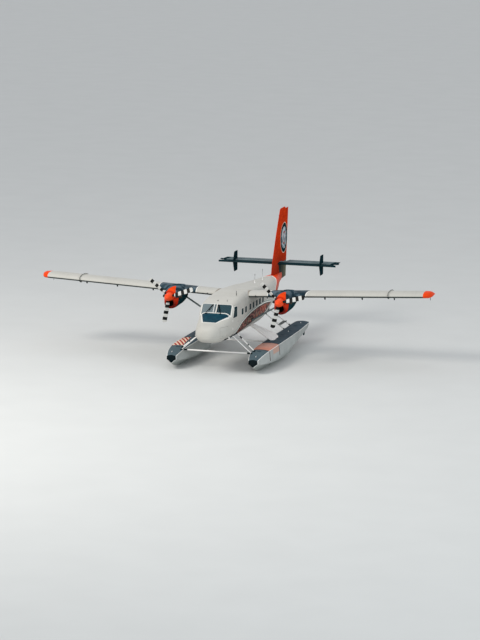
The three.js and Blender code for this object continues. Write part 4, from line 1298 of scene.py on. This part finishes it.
def make_wing_strut(side, hand):
    foot, head = (np.array(spot) * [side, 1, 1] for spot in WING_STRUT)
    along = (head - foot) / np.linalg.norm(head - foot)
    cuff = foil_section(0.25, 0.1)
    forms = [bar(foot, head, foil_section(0.21, 0.07)), bar(foot, foot + along * 0.16, cuff),
             bar(head - along * 0.42, head - along * 0.14, cuff)]
    node = f"wing_strut_{hand}"
    # Painted shade: the strut is drawn dark teal-grey instead of white
    piece(f"wing_strut_skin_{hand}", forms, [SHADED_STRUT_PAINT], slot="white_paint", replaces=[node], bevel=0.004)


for SIDE, HAND in SIDES:
    make_nacelle(SIDE, HAND)
    make_intake(SIDE, HAND)
    make_exhausts(SIDE, HAND)
    make_propeller(SIDE, HAND)
    make_wing_strut(SIDE, HAND)


# Tail

def rudder_line(z):
    """The rudder's hinge station, nose radius and trailing edge at a height."""
    share = (z - RUDDER_FOOT[1]) / (RUDDER_HEAD[1] - RUDDER_FOOT[1])
    y, _, radius, tail = [a + share * (b - a) for a, b in zip(RUDDER_FOOT, RUDDER_HEAD)]
    return y, radius, tail


def fin_ring(z):
    """The fin's section ahead of the rudder; above FIN_CROWN its top is rounded off."""
    nose, tail, thickness = (np.interp(z, FIN[:, 0], c) for c in FIN.T[1:])
    if z > FIN_CROWN:
        over = (z - FIN_CROWN) / 0.09
        nose, thickness = 8.96 + 0.14 * over ** 2, 0.06 * math.sqrt(max(0.04, 1 - over ** 2))
    y, radius, _ = rudder_line(z)
    cut = (y - radius - 0.012 - nose) / (tail - nose)
    share = (1 - np.cos(np.linspace(0, math.acos(1 - 2 * min(1, cut)), 26))) / 2
    half = foil_half(share, tail - nose, thickness) + 0.002
    right = np.stack([half, nose + share * (tail - nose), np.full(26, z)], -1)
    left = right[1:] * [-1, 1, 1]
    return np.vstack([right, left[::-1]])


def make_fin():
    crown = FIN_CROWN + 0.089 * np.sin(np.linspace(0, math.pi / 2, 6))
    fin = loft([fin_ring(z) for z in [*np.linspace(-0.2, 3.05, 34), *crown]], "flat")
    piece("fin_skin", [fin], [FIN_PAINT], slot="orange_paint", replaces=["fin"])
    foot, head = RUDDER_FOOT[1], RUDDER_HEAD[1]
    rings = []
    for z in np.concatenate([[foot], np.linspace(foot + 0.02, head - 0.02, 20), [head]]):
        y, radius, tail = rudder_line(z)
        radius *= 0.85 if z in (foot, head) else 1
        rings.append([(across, y + back, z) for back, across in surface_section(radius, tail - y)])
    piece("rudder_skin", [loft(rings, "flat")], [FIN_PAINT], "rudder", "orange_paint", ["rudder"])


def tail_foil(x, reach, count=22, nose=-1.0):
    """The tailplane's section as far aft as reach, cut off square ahead of nose."""
    points = foil_points(TAIL_CHORD, 0.085, reach / TAIL_CHORD, reach / TAIL_CHORD, count)
    points[:, 0] = np.maximum(points[:, 0], nose)
    return set_foil(x, points, TAIL_NOSE, TAIL_Z, 0.0)


def make_tailplane():
    spans = np.linspace(-TAIL_HALF, TAIL_HALF, 13)
    forms = [loft([tail_foil(x, TAIL_CUT - TAIL_NOSE) for x in spans], "flat")]
    for side, _ in SIDES:
        tip = [tail_foil(side * (TAIL_HALF + out), nose + depth, 12, nose) for out, nose, depth in TAIL_TIPS]
        forms.append(loft(tip))
    piece("tailplane_skin", forms, [TAIL_PAINT], slot="slate_paint", replaces=["tailplane"])


def horn_ring(side, x, nose, reach):
    """A section of the elevator's horn, from its nose back over the hinge."""
    turns = np.linspace(0, 2 * math.pi, 20, endpoint=False)
    y = nose + reach / 2 - reach / 2 * np.cos(turns)
    return np.stack([np.full(20, side * x), y, TAIL_Z + 0.02 + 0.1 * (9.2 - y) + 0.03 * np.sin(turns)], -1)


def make_elevator(side, hand):
    rings = []
    for x in (ELEVATOR_ROOT, TAIL_TIP - 0.01):
        radius = 0.05 - 0.008 * (x - ELEVATOR_ROOT) / (TAIL_TIP - ELEVATOR_ROOT)
        points = surface_section(radius, ELEVATOR_TAIL - ELEVATOR_HINGE)
        rings.append([(side * x, ELEVATOR_HINGE + back, TAIL_Z + 0.02 + up) for back, up in points])
    forms = [loft(rings, "flat"), loft([horn_ring(side, *row) for row in HORN])]
    body = f"elevator_{hand}"
    piece(f"elevator_skin_{hand}", forms, [TAIL_PAINT], body, "slate_paint", [body], bevel=0.003)
    outline = [(y, TAIL_Z + z) for y, z in rounded_outline(FINLET, 0.06)]
    plate = prism(outline, "x", side * FINLET_X - 0.009, side * FINLET_X + 0.009)
    node = f"finlet_{hand}"
    piece(f"finlet_skin_{hand}", [plate], [DARK_PAINT], slot="dark_paint", replaces=[node], bevel=0.004)


make_fin()
make_tailplane()
for SIDE, HAND in SIDES:
    make_elevator(SIDE, HAND)


# Floats

def float_ring(side, row):
    """A float's section: bottom with a slight sag, side, rolled gunwale and crowned deck."""
    y, deck_half, deck, chine_half, chine, keel = row
    half = [(0.03, keel)]
    for t in (0.33, 0.66):
        sag = 0.016 * math.sin(math.pi * t)
        half.append((0.03 + (chine_half - 0.03) * t, keel + (chine - keel) * t + sag))
    half.append((chine_half, chine))
    half.append((chine_half + (deck_half - chine_half) * 0.5, chine + (deck - chine) * 0.5))
    half += [(deck_half, deck - 0.02), (deck_half - 0.007, deck - 0.005), (deck_half - 0.022, deck + 0.003)]
    for t in (0.75, 0.5, 0.25):
        half.append(((deck_half - 0.022) * t, deck + DECK_CROWN * (1 - t * t) + 0.003 * t))
    ring = half + [(0.0, deck + DECK_CROWN)] + [(-x, z) for x, z in half[::-1]]
    return [(side * FLOAT_X + x, y, z) for x, z in ring]


def make_float(side, hand):
    bow = np.concatenate([np.linspace(-3.3, -1.7, 15), np.linspace(-1.6, STEP, 14)])
    fore = smooth_rows(FLOAT_FORE, bow)
    aft = smooth_rows(FLOAT_AFT, np.linspace(FLOAT_AFT[0, 0], FLOAT_AFT[-1, 0], 22))
    hull = loft([float_ring(side, row) for row in np.vstack([fore, aft])], "flat")
    node = f"float_{hand}"
    piece(f"float_skin_{hand}", [hull], [float_paint(side)], slot="deck_paint", replaces=[node], sharp=28)


for SIDE, HAND in SIDES:
    make_float(SIDE, HAND)


# Float gear

# Round struts: foot, head, chord, thickness
FRONT_STRUTS = (((1.77, -2.56, -2.29), (0.77, -2.62, -1.41), 0.075, 0.036),
                ((1.81, -2.23, -2.22), (0.80, -1.88, -1.43), 0.095, 0.056))
REAR_STRUTS = (((1.66, 4.95, -2.165), (0.722, 4.2, -1.22), 0.12, 0.066),
               ((1.66, 3.91, -2.21), (0.744, 3.6, -1.38), 0.12, 0.066))
# Dark bands on the second front strut: share of the way down, half length
BANDS = ((0.25, 0.075), (0.655, 0.035))
PADDLE_TOP = np.array([0.8, -1.48])
PADDLE_FOOT = np.array([1.98, -2.15])
# The broad leg's outline: share of the way down, distance aft
PADDLE = [(-.06, .6), (.2, .531), (.44, .454), (.67, .38), (.89, .358), (.985, .4), (1.035, .56), (1.05, .82),
          (1.05, 1.05), (1.03, 1.32), (.985, 1.52), (.91, 1.6), (.82, 1.6), (.56, 1.465), (.32, 1.25),
          (.1, .98), (-.06, .86)]
# Its rounded edge: distance from the middle of its thickness, and how far the outline is drawn in there
PADDLE_EDGE = ((-0.045, 0.035), (-0.04, 0.012), (-0.02, 0.0), (0.02, 0.0), (0.04, 0.012), (0.045, 0.035))
# Raised seams on the leg: distance aft at its top and at its foot
PADDLE_SEAMS = ((.80, .80), (1.0, 1.16))
STEP_PLATE = (1.34, 1.54, 3.72, 4.86, -1.955, -1.925)
SPREADERS = {"front_spreader": (-2.42, -2.30), "rear_spreader": (1.0, -2.33)}
BUMPER = [(-3.3003, 1.0), (-3.345, 0.985), (-3.38, 0.95), (-3.405, 0.88), (-3.418, 0.76)]
WATER_RUDDER = [(6.1, -2.36), (6.14, -2.86), (6.22, -2.9), (6.42, -2.88), (6.48, -2.5), (6.4, -2.34)]


def strut(side, foot, head, chord, thickness):
    ends = [np.array(spot) * [side, 1, 1] for spot in (foot, head)]
    return bar(*ends, foil_section(chord, thickness)), ends


def collar(ends, share, chord, thickness, width=0.05):
    """A sleeve round a strut, at a share of the way up."""
    start = ends[0] + (ends[1] - ends[0]) * share
    along = (ends[1] - ends[0]) / np.linalg.norm(ends[1] - ends[0])
    return toned(bar(start - along * width, start + along * width, foil_section(chord, thickness)), 1)


def gear(part, hand, forms, finishes, bevel):
    """A finished strut that stands for its node."""
    node = f"{part}_{hand}"
    piece(f"{part}_skin_{hand}", forms, finishes, slot="white_paint", replaces=[node], bevel=bevel)


def make_front_struts(side, hand):
    forms = []
    for number, (foot, head, chord, thickness) in enumerate(FRONT_STRUTS):
        leg, ends = strut(side, foot, head, chord, thickness)
        forms.append(leg)
        for share, length in BANDS if number else ():
            forms.append(collar(ends, 1 - share, chord + 0.01, thickness + 0.01, length))
        forms.append(collar(ends, 0.02, chord + 0.02, thickness + 0.02, 0.035))
        forms.append(collar(ends, 0.985, chord + 0.03, thickness + 0.03))
        x, y, z = foot
        shoe = [(y - .09, z + .03), (y + .09, z + .03), (y + .11, z - .05), (y - .11, z - .05)]
        shoe = prism(rounded_outline(shoe, 0.02), "x", side * (x - 0.035), side * (x + 0.035))
        forms.append(toned(shoe, 1))
    gear("front_strut", hand, forms, [STRUT_PAINT, DARK_FITTING], 0.002)


def make_rear_struts(side, hand):
    forms = []
    for row in REAR_STRUTS:
        leg, ends = strut(side, *row)
        forms += [leg, collar(ends, 0.03, 0.13, 0.08), collar(ends, 0.985, 0.13, 0.085)]
    x0, x1, y0, y1, z0, z1 = STEP_PLATE
    corners = [(side * x0, y0), (side * x1, y0), (side * x1, y1), (side * x0, y1)]
    forms.append(toned(prism(rounded_outline(corners, 0.04), "z", z0, z1 - 0.008), 1))
    for x in np.linspace(x0 + 0.03, x1 - 0.03, 4):
        forms.append(toned(box(side * x - 0.008, side * x + 0.008, y0 + 0.03, y1 - 0.03, z1 - 0.01, z1), 1))
    gear("rear_strut", hand, forms, [STRUT_PAINT, PLATE_PAINT], 0.002)


def paddle_ring(side, outline, offset):
    """Points of the broad leg's outline, set off from the middle of its thickness."""
    along = PADDLE_FOOT - PADDLE_TOP
    normal = np.array([-along[1], along[0]]) / np.linalg.norm(along) * offset
    spots = [PADDLE_TOP + along * share + normal for share, _ in outline]
    return [(side * x, y, z) for (x, z), (_, y) in zip(spots, outline)]


def make_main_strut(side, hand):
    outline = rounded_outline(PADDLE, 0.2, 3)
    inward = np.mean(outline, 0) - outline
    inward /= np.linalg.norm(inward * [1.36, 1], axis=1)[:, None]
    rings = [paddle_ring(side, outline + inward * shrink, offset) for offset, shrink in PADDLE_EDGE]
    forms = [loft(rings, "flat")]
    for start, end in PADDLE_SEAMS:
        seam = [(s, start + (end - start) * s) for s in np.linspace(0.08, 0.9, 6)]
        forms += [toned(tube(paddle_ring(side, seam, offset), 0.012, 8), 1) for offset in (-0.046, 0.046)]
    turns = np.linspace(0, 2 * math.pi, 28, endpoint=False)
    foot = [(side * (1.93 + 0.13 * math.cos(t)), 0.98 + 0.42 * math.sin(t)) for t in turns]
    forms.append(toned(prism(foot, "z", -2.2, -2.13), 2))
    gear("main_strut", hand, forms, [LEG_PAINT, STRUT_PAINT, DARK_FITTING], 0.003)


def make_bumper(side, hand):
    front = np.array(float_ring(side, FLOAT_FORE[0]))
    rings = []
    for y, scale in BUMPER:
        middle = np.array([side * FLOAT_X, y, -2.6])
        rings.append(middle + (front - middle) * [scale, 0, scale])
    node = f"bow_bumper_{hand}"
    piece(f"bumper_skin_{hand}", [loft(rings)], [RUBBER], slot="bumper_rubber", replaces=[node], sharp=45)


def make_spreader(name, y, z):
    forms = [tube([(x, y, z) for x in np.linspace(-1.53, 1.53, 9)], 0.036, 18)]
    forms += [toned(tube([(s * 1.70, y, z), (s * 1.50, y, z)], 0.042, 18), 1) for s in (-1, 1)]
    finishes = [STRUT_PAINT, DARK_FITTING]
    piece(f"{name}_tube", forms, finishes, slot="white_paint", replaces=[name], bevel=0.003)


def make_water_rudder(side, hand):
    x = side * FLOAT_X
    forms = [prism(rounded_outline(WATER_RUDDER, 0.05), "x", x - 0.009, x + 0.009)]
    for z in (-2.46, -2.6, -2.74):
        rib = [(6.12, z - .012), (6.12, z + .012), (6.46, z + .012), (6.46, z - .012)]
        forms.append(prism(rounded_outline(rib, .008), "x", x - 0.014, x + 0.014))
    post = tube([(x, 6.07, z) for z in (-2.56, -2.45, -2.35, -2.24)], 0.026, 18)
    knuckle = tube([(x, 6.07, -2.4), (x, 6.13, -2.42)], 0.03, 14)
    forms += [toned(post, 1), toned(knuckle, 1)]
    body = f"water_rudder_{hand}"
    piece(f"water_rudder_skin_{hand}", forms, [DARK_PAINT, ALUMINIUM], body, "bare_aluminium", [body])


for SIDE, HAND in SIDES:
    make_front_struts(SIDE, HAND)
    make_rear_struts(SIDE, HAND)
    make_main_strut(SIDE, HAND)
    make_bumper(SIDE, HAND)
    make_water_rudder(SIDE, HAND)
for NAME, PLACE in SPREADERS.items():
    make_spreader(NAME, *PLACE)


# Small fittings on the outside

UP = (0, 0, 1)
CLEATS = (-3.02, 3.0, 5.4)
HATCHES = (-2.2, 0.35, 2.1, 3.4, 4.7)
# A deck hatch, from its rim in to its knob: radius, height
HATCH = [(.115, -.01), (.115, .006), (.1, .009), (.09, .004), (.02, .004), (.02, .012), (.001, .012)]
# Aerials: station, height, radius
AERIALS = ((4.21, 0.47, 0.026), (5.64, 0.58, 0.02))
# Low dark fairings on the roof over the cockpit
ROOF_MARKS = (((0.40, -2.15, 0.055), (0.36, -1.98, 0.105), (0.31, -1.81, 0.135)),
              ((-0.10, -2.06, 0.105), (-0.10, -2.0, 0.115), (-0.10, -1.94, 0.125)))
# Wipers: foot, tip
WIPERS = (((0.26, -2.83, -0.385), (0.05, -2.46, -0.02)), ((-0.46, -2.83, -0.385), (-0.22, -2.46, -0.02)))
SCREEN_POST = [(0.0, -2.747, -0.365), (0.0, -2.59, -0.185), (0.0, -2.43, 0.01)]
STRAKE = ((.655, -3.45, -1.505), (.70, -3.2, -1.5), (.765, -2.75, -1.475), (.81, -2.3, -1.455),
          (.82, -2.0, -1.45))
BRACKETS = (4.4, 6.27, 7.87)
WICKS = (7.2, 8.0, 8.7, 9.2)


def cleat(x, y, z, size=0.07):
    curve = ((-1, .035), (-.5, .032), (.5, .032), (1, .035))
    grip = [(x, y + size * share, z + lift) for share, lift in curve]
    feet = [tube([(x, y + d, z - 0.01), (x, y + d, z + 0.032)], 0.009, 10) for d in (-size * .35, size * .35)]
    return [tube(grip, [0.007, 0.011, 0.011, 0.007], 10)] + feet


def deck_height(y):
    table = FLOAT_FORE if y < STEP else FLOAT_AFT
    return smooth_through(table[:, 0], table[:, 2], [y])[0] + DECK_CROWN


def make_deck_fittings(side, hand):
    x = side * FLOAT_X
    cleats = [form for y in CLEATS for form in cleat(x + side * 0.06, y, deck_height(y) - 0.004)]
    hatches = [lathe(HATCH, (x, y, deck_height(y)), UP, 28) for y in HATCHES]
    fore = smooth_rows(FLOAT_FORE, np.linspace(-3.28, 1.55, 18))
    aft = smooth_rows(FLOAT_AFT, np.linspace(1.65, 5.9, 12))
    rails = []
    for out in (-1, 1):
        path = [(x + out * (half + 0.004), y, deck - 0.012) for y, half, deck, *_ in np.vstack([fore, aft])]
        rails.append(tube(path, 0.011, 8))
    piece(f"cleats_{hand}", cleats, [STRUT_PAINT], slot="bare_aluminium")
    piece(f"deck_hatches_{hand}", hatches, [HATCH_PAINT], slot="deck_paint")
    piece(f"gunwales_{hand}", rails, [STRUT_PAINT], slot="bare_aluminium")


def roof_height(y):
    return body_section(y)[1]


def make_antennas():
    pale = []
    for y, tall, radius in AERIALS:
        z = roof_height(y)
        mast = [(0, y + 0.03, z - 0.02), (0, y, z + 0.05), (0, y + 0.02, z + tall)]
        pale.append(tube(mast, [radius * 1.8, radius, radius * 0.6], 12))
        pale.append(lathe([(0.06, -0.02), (0.06, 0.008), (0.02, 0.02)], (0, y + 0.03, z), UP, 20))
    z = roof_height(-0.92)
    whip = [(0.515, -0.926, z - 0.08), (0.515, -0.93, z + 0.1), (0.515, -0.95, z + 0.24)]
    dark = [tube(whip, [0.02, 0.014, 0.009], 12)]
    dark.append(lathe([(0.05, -0.06), (0.05, -0.012), (0.02, 0.0)], (0.515, -0.926, z - 0.01), UP, 20))
    dark += [tube(path, 0.014, 8) for path in ROOF_MARKS]
    rods = []
    for side, _ in SIDES[::-1]:
        rod = [(side * x, y, 2.72) for x, y in ((0.04, 9.5), (0.12, 9.51), (0.22, 9.53))]
        rods.append(tube(rod, [0.02, 0.016, 0.012], 10))
    piece("antennas_white", pale, [STRUT_PAINT], slot="white_paint")
    piece("fin_rods", rods, [FIN_PAINT], slot="orange_paint")
    piece("antennas_dark", dark, [DARK_FITTING], slot="dark_paint")


def make_wipers():
    """The two wipers, each an arm, a blade and a foot, and the seals of the windscreen's middle post."""
    forms = []
    lift = np.array([0, -0.022, 0.018])
    rail = np.array([0.03, 0, 0])
    for base, tip in WIPERS:
        base, tip = np.array(base), np.array(tip)
        middle = base * 0.6 + tip * 0.4
        arm = [base - [0, 0, 0.04], base + lift, middle + lift, tip + lift]
        forms.append(tube(arm, [0.018, 0.017, 0.014, 0.012], 10))
        forms.append(tube([base * 0.66 + tip * 0.34 + rail + lift * .6, tip + rail + lift * .6], 0.013, 8))
        forms.append(lathe([(0.035, -0.05), (0.035, 0.012), (0.02, 0.02)], base, UP, 16))
    for x in (-0.040, 0.040):
        forms.append(tube([np.array(spot) + [x, -0.006, 0.006] for spot in SCREEN_POST], 0.010, 8))
    piece("wipers", forms, [SEAL], slot="dark_paint")


def make_fuselage_fittings():
    """The belly strakes, the cups at the front struts' heads, a dome each side, and the fin's beacon."""
    dark, pale = [], []
    for side, _ in SIDES:
        dark.append(tube([(side * x, y, z) for x, y, z in STRAKE], 0.03, 10))
        for _, (x, y, z), *_ in FRONT_STRUTS:
            cup = [(0.05, -0.05), (0.05, 0.02), (0.03, 0.035)]
            dark.append(lathe(cup, (side * x, y, z), (side * .6, 0, -.8), 20))
        dome = [(0.045, -0.04), (0.045, 0.03), (0.035, 0.055), (0.01, 0.065)]
        pale.append(lathe(dome, (side * 0.735, -3.02, -1.48), (side * .8, 0, -.6), 20))
    beacon = lathe([(0.036, -0.03), (0.036, 0.01), (0.03, 0.035), (0.001, 0.048)], (0, 9.12, 3.085), UP, 20)
    piece("belly_fittings", dark, [DARK_FITTING], slot="dark_paint")
    piece("pale_fittings", pale, [STRUT_PAINT], slot="white_paint")
    piece("fin_beacon", [beacon], [RED_GLASS], slot="clear_glass")


def make_wing_fittings(side, hand):
    """The brackets and two short rods on a wing, its tip lamp, and the wicks on its aileron."""
    forms = []
    for x in BRACKETS:
        z = wing_height(x)
        outline = rounded_outline([(0.9, z - .06), (1.2, z - .37), (1.28, z - .39), (1.31, z - .08)], 0.03, 3)
        forms.append(prism(outline, "x", side * x - 0.018, side * x + 0.018))
    x, z = side * 9.64, wing_height(9.64)
    forms.append(tube([(x, 1.25, z - 0.02), (x, 1.27, z - 0.38)], [0.02, 0.012], 10))
    x, z = side * 1.22, wing_height(1.2)
    forms.append(tube([(x, 0.01, z), (x, -0.06, z)], 0.022, 12))
    piece(f"wing_fittings_{hand}", forms, [DARK_FITTING], slot="dark_paint", bevel=0.002)
    profile = [(0.001, -0.05), (0.022, -0.035), (0.03, 0.0), (0.028, 0.09), (0.001, 0.12)]
    lamp = lathe(profile, (side * 9.76, 0.25, wing_height(9.82) + 0.01), (side * 0.5, 1, 0), 20)
    piece(f"tip_lamp_{hand}", [lamp], [RED_GLASS if side > 0 else GREEN_GLASS], slot="clear_glass")
    wicks = []
    for x in WICKS:
        z = wing_height(x)
        wicks.append(tube([(side * x, 1.95, z - 0.06), (side * x, 2.06, z - 0.065)], [0.004, 0.002], 6))
    piece(f"wicks_{hand}", wicks, [SEAL], f"aileron_{hand}", "dark_paint")


make_antennas()
make_wipers()
make_fuselage_fittings()
for SIDE, HAND in SIDES:
    make_deck_fittings(SIDE, HAND)
    make_wing_fittings(SIDE, HAND)


# Cabin

# Pilots' seats: their two edges and the station of their front
PILOT_SEATS = {"port": (0.17, 0.64, -2.18), "starboard": (-0.64, -0.17, -2.18)}
SEAT_ROWS = (-1.2, -0.45, 0.3, 1.05, 1.8, 2.55)
# Passenger seats abreast on each side: their two edges
ABREAST = {"port": ((0.3, 0.74),), "starboard": ((-0.74, -0.38), (-0.36, 0.0))}
SEAT_WIDTH = 0.44
# Cushion, back and head rest before they swell: margin at the sides, front, rear, foot, head
SEAT_PADS = ((0.018, 0.008, 0.402, -0.957, -0.858), (0.028, 0.425, 0.51, -0.94, -0.43),
             (0.088, 0.43, 0.50, -0.405, -0.31))
SWELL = 0.014
VOXEL = 0.014
PRESSURE = 4.0
SWELL_FRAMES = 20
PANEL = [(-.56, -.76), (.56, -.76), (.56, -.5), (.4, -.45), (-.4, -.45), (-.56, -.5)]
COAMING = [(-.6, -.5), (.6, -.5), (.42, -.43), (-.42, -.43)]
# A dial, from its rim in to its face: radius, distance
DIAL = [(0.045, 0), (0.045, 0.012), (0.037, 0.014), (0.036, 0.006), (0.001, 0.006)]
YOKE = ((-.14, .1), (-.13, 0), (-.05, -.03), (.05, -.03), (.13, 0), (.14, .1))


def swollen(form):
    """A pad blown up by cloth pressure, no point of it moved further than SWELL."""
    obj = solid("pad", [form])
    grid = obj.modifiers.new("grid", "REMESH")
    grid.mode = "VOXEL"
    grid.voxel_size = VOXEL
    ready = obj.evaluated_get(bpy.context.evaluated_depsgraph_get())
    obj.data = bpy.data.meshes.new_from_object(ready)
    obj.modifiers.clear()
    cloth = obj.modifiers.new("cloth", "CLOTH").settings
    cloth.use_pressure = True
    cloth.uniform_pressure_force = PRESSURE
    cloth.effector_weights.gravity = 0.0
    ease = obj.modifiers.new("ease", "SMOOTH")
    ease.iterations = 5
    for step in range(1, SWELL_FRAMES + 1):
        bpy.context.scene.frame_set(step)
    blown = obj.evaluated_get(bpy.context.evaluated_depsgraph_get()).data
    start, end = (np.array([v.co for v in mesh.vertices]) for mesh in (obj.data, blown))
    way = end - start
    far = np.maximum(np.linalg.norm(way, axis=1), 1e-9)[:, None]
    faces = [list(face.vertices) for face in obj.data.polygons]
    bpy.data.objects.remove(obj)
    bpy.context.scene.frame_set(1)
    return start + way * np.minimum(1.0, SWELL / far) - DATUM, faces, [0] * len(faces)


PAD_FORMS = [swollen(pad(inset, SEAT_WIDTH - inset, *rest)) for inset, *rest in SEAT_PADS]


def seat_pads(x0, x1, y):
    scale = [(x1 - x0) / SEAT_WIDTH, 1, 1]
    return [(points * scale + [x0, y, 0], faces, marks) for points, faces, marks in PAD_FORMS]


def seat_frame(x0, x1, y):
    """Legs, side rails, arm rests, the head rest's two posts and a rail across."""
    sides, middle = (x0 + 0.07, x1 - 0.07), (x0 + x1) / 2
    bars = [tube([(x, y + d, -1.3), (x, y + d, -0.95)], 0.016, 10) for x in sides for d in (0.06, 0.38)]
    bars += [tube([(x, y + 0.02, -0.965), (x, y + 0.44, -0.965)], 0.014, 10) for x in sides]
    for x in (x0, x1):
        arm = [(x, y + 0.47, -0.955), (x, y + 0.46, -0.76), (x, y + 0.3, -0.72), (x, y + 0.1, -0.72)]
        bars.append(tube(arm, 0.016, 10))
    for x in (middle - 0.05, middle + 0.05):
        bars.append(tube([(x, y + 0.465, -0.47), (x, y + 0.465, -0.36)], 0.008, 10))
    return bars + [tube([(x0, y + 0.47, -0.955), (x1, y + 0.47, -0.955)], 0.014, 10)]


def make_seats(name, places):
    pads = [form for place in places for form in seat_pads(*place)]
    frames = [toned(form, 1) for place in places for form in seat_frame(*place)]
    cushions = piece(f"{name}_cushions", pads, [CLOTH], slot="seat_cloth", replaces=[name])
    piece(f"{name}_frames", frames, [CLOTH, ALUMINIUM], slot="bare_aluminium")


def make_panel():
    """The instrument panel and pedestal, with dials, levers and two control columns."""
    forms = [prism(rounded_outline(PANEL, 0.05), "y", -2.66, -2.54),
             prism(rounded_outline(COAMING, 0.03), "y", -2.7, -2.46),
             box(-0.13, 0.13, -2.64, -2.3, -1.3, -0.8), box(-0.12, 0.12, -2.63, -2.54, -0.82, -0.7)]
    metal = []
    for x in (-.45, -.34, -.23, -.08, .08, .23, .34, .45):
        metal += [lathe(DIAL, (x, -2.54, z), (0, 1, 0), 20) for z in (-.56, -.67)]
    for x in (-.06, -.02, .02, .06):
        metal.append(tube([(x, -2.4, -0.8), (x, -2.38, -0.68)], [0.008, 0.014], 10))
    for x in (-0.4, 0.4):
        metal.append(tube([(x, -2.5, -1.3), (x, -2.42, -0.95), (x, -2.36, -0.82)], 0.018, 12))
        metal.append(tube([(x + across, -2.34, -0.82 + rise) for across, rise in YOKE], 0.014, 10))
    forms += [toned(form, 1) for form in metal]
    finishes = [PANEL_FINISH, ALUMINIUM]
    piece("panel_board", forms, finishes, slot="cabin_plastic", replaces=["instrument_panel"], bevel=0.003)


def make_floor():
    forms = [box(-0.8, 0.8, -2.7, 4.45, -1.33, -1.3)]
    for x in (-0.66, -0.32, 0.42, 0.66):
        forms.append(toned(box(x - 0.012, x + 0.012, -2.2, 4.2, -1.301, -1.294), 1))
    piece("floor_boards", forms, [PANEL_FINISH, ALUMINIUM], slot="cabin_plastic", replaces=["floor"])


for _, HAND in SIDES:
    make_seats(f"pilot_seat_{HAND}", [PILOT_SEATS[HAND]])
for _, HAND in SIDES:
    make_seats(f"passenger_seats_{HAND}", [(a, b, y) for y in SEAT_ROWS for a, b in ABREAST[HAND]])
make_panel()
make_floor()
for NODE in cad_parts.values():
    if not NODE.hide_render:
        NODE.data.materials.clear()
        NODE.data.materials.append(STEEL)


# Camera, light and floor

AZIMUTH = 0.27636
ELEVATION = 0.17578
ROLL = 0.00786
DISTANCE = 140.0
FOCAL_PIXELS = 2864.3
FRAME_LONG_SIDE = 640
SENSOR = 36.0
TARGET = Vector((0.4406, -3.045, 2.0043))
FLOOR_REACH = 900.0
SKY = (0.93, 0.96, 1.0, 1.0)
SKY_STRENGTH = 0.75


def make_camera():
    flat = math.cos(ELEVATION)
    back = Vector((math.sin(AZIMUTH) * flat, -math.cos(AZIMUTH) * flat, math.sin(ELEVATION)))
    level = Vector((math.cos(AZIMUTH), math.sin(AZIMUTH), 0))
    upright = back.cross(level)
    right = level * math.cos(ROLL) + upright * math.sin(ROLL)
    up = upright * math.cos(ROLL) - level * math.sin(ROLL)
    data = bpy.data.cameras.new("camera")
    data.sensor_width = SENSOR
    data.lens = FOCAL_PIXELS / FRAME_LONG_SIDE * SENSOR
    data.clip_start = 1.0
    data.clip_end = 3000.0
    camera = bpy.data.objects.new("camera", data)
    turn = Matrix((right, up, back)).transposed().to_4x4()
    camera.matrix_world = Matrix.Translation(TARGET + back * DISTANCE) @ turn
    bpy.context.scene.collection.objects.link(camera)
    bpy.context.scene.camera = camera


def make_light(name, place, size, power, colour):
    data = bpy.data.lights.new(name, "AREA")
    data.size = size
    data.energy = power
    data.color = colour
    lamp = bpy.data.objects.new(name, data)
    lamp.location = place
    lamp.rotation_euler = (Vector((0, 0, 2)) - Vector(place)).to_track_quat("-Z", "Y").to_euler()
    bpy.context.scene.collection.objects.link(lamp)


def make_stage():
    mesh = bpy.data.meshes.new("studio_floor")
    corners = [(x * FLOOR_REACH, y * FLOOR_REACH, -0.001) for x, y in ((-1, -1), (1, -1), (1, 1), (-1, 1))]
    mesh.from_pydata(corners, [], [(0, 1, 2, 3)])
    f = Finish("studio_floor", 0.85)
    mesh.materials.append(f.done(f.mix(f.noise(0.4, 2), rgb(206, 207, 205), rgb(212, 213, 211))))
    floor = bpy.data.objects.new("studio_floor", mesh)
    bpy.context.scene.collection.objects.link(floor)
    world = bpy.data.worlds.new("studio")
    world.use_nodes = True
    sky = world.node_tree.nodes["Background"]
    sky.inputs["Color"].default_value = SKY
    sky.inputs["Strength"].default_value = SKY_STRENGTH
    bpy.context.scene.world = world
    make_light("key", (-22, -34, 34), 16, 13000, (1.0, 0.97, 0.92))
    make_light("fill", (74, -52, 31), 34, 16500, (0.85, 0.95, 1.0))
    bpy.context.scene.view_settings.view_transform = "Standard"


make_camera()
make_stage()
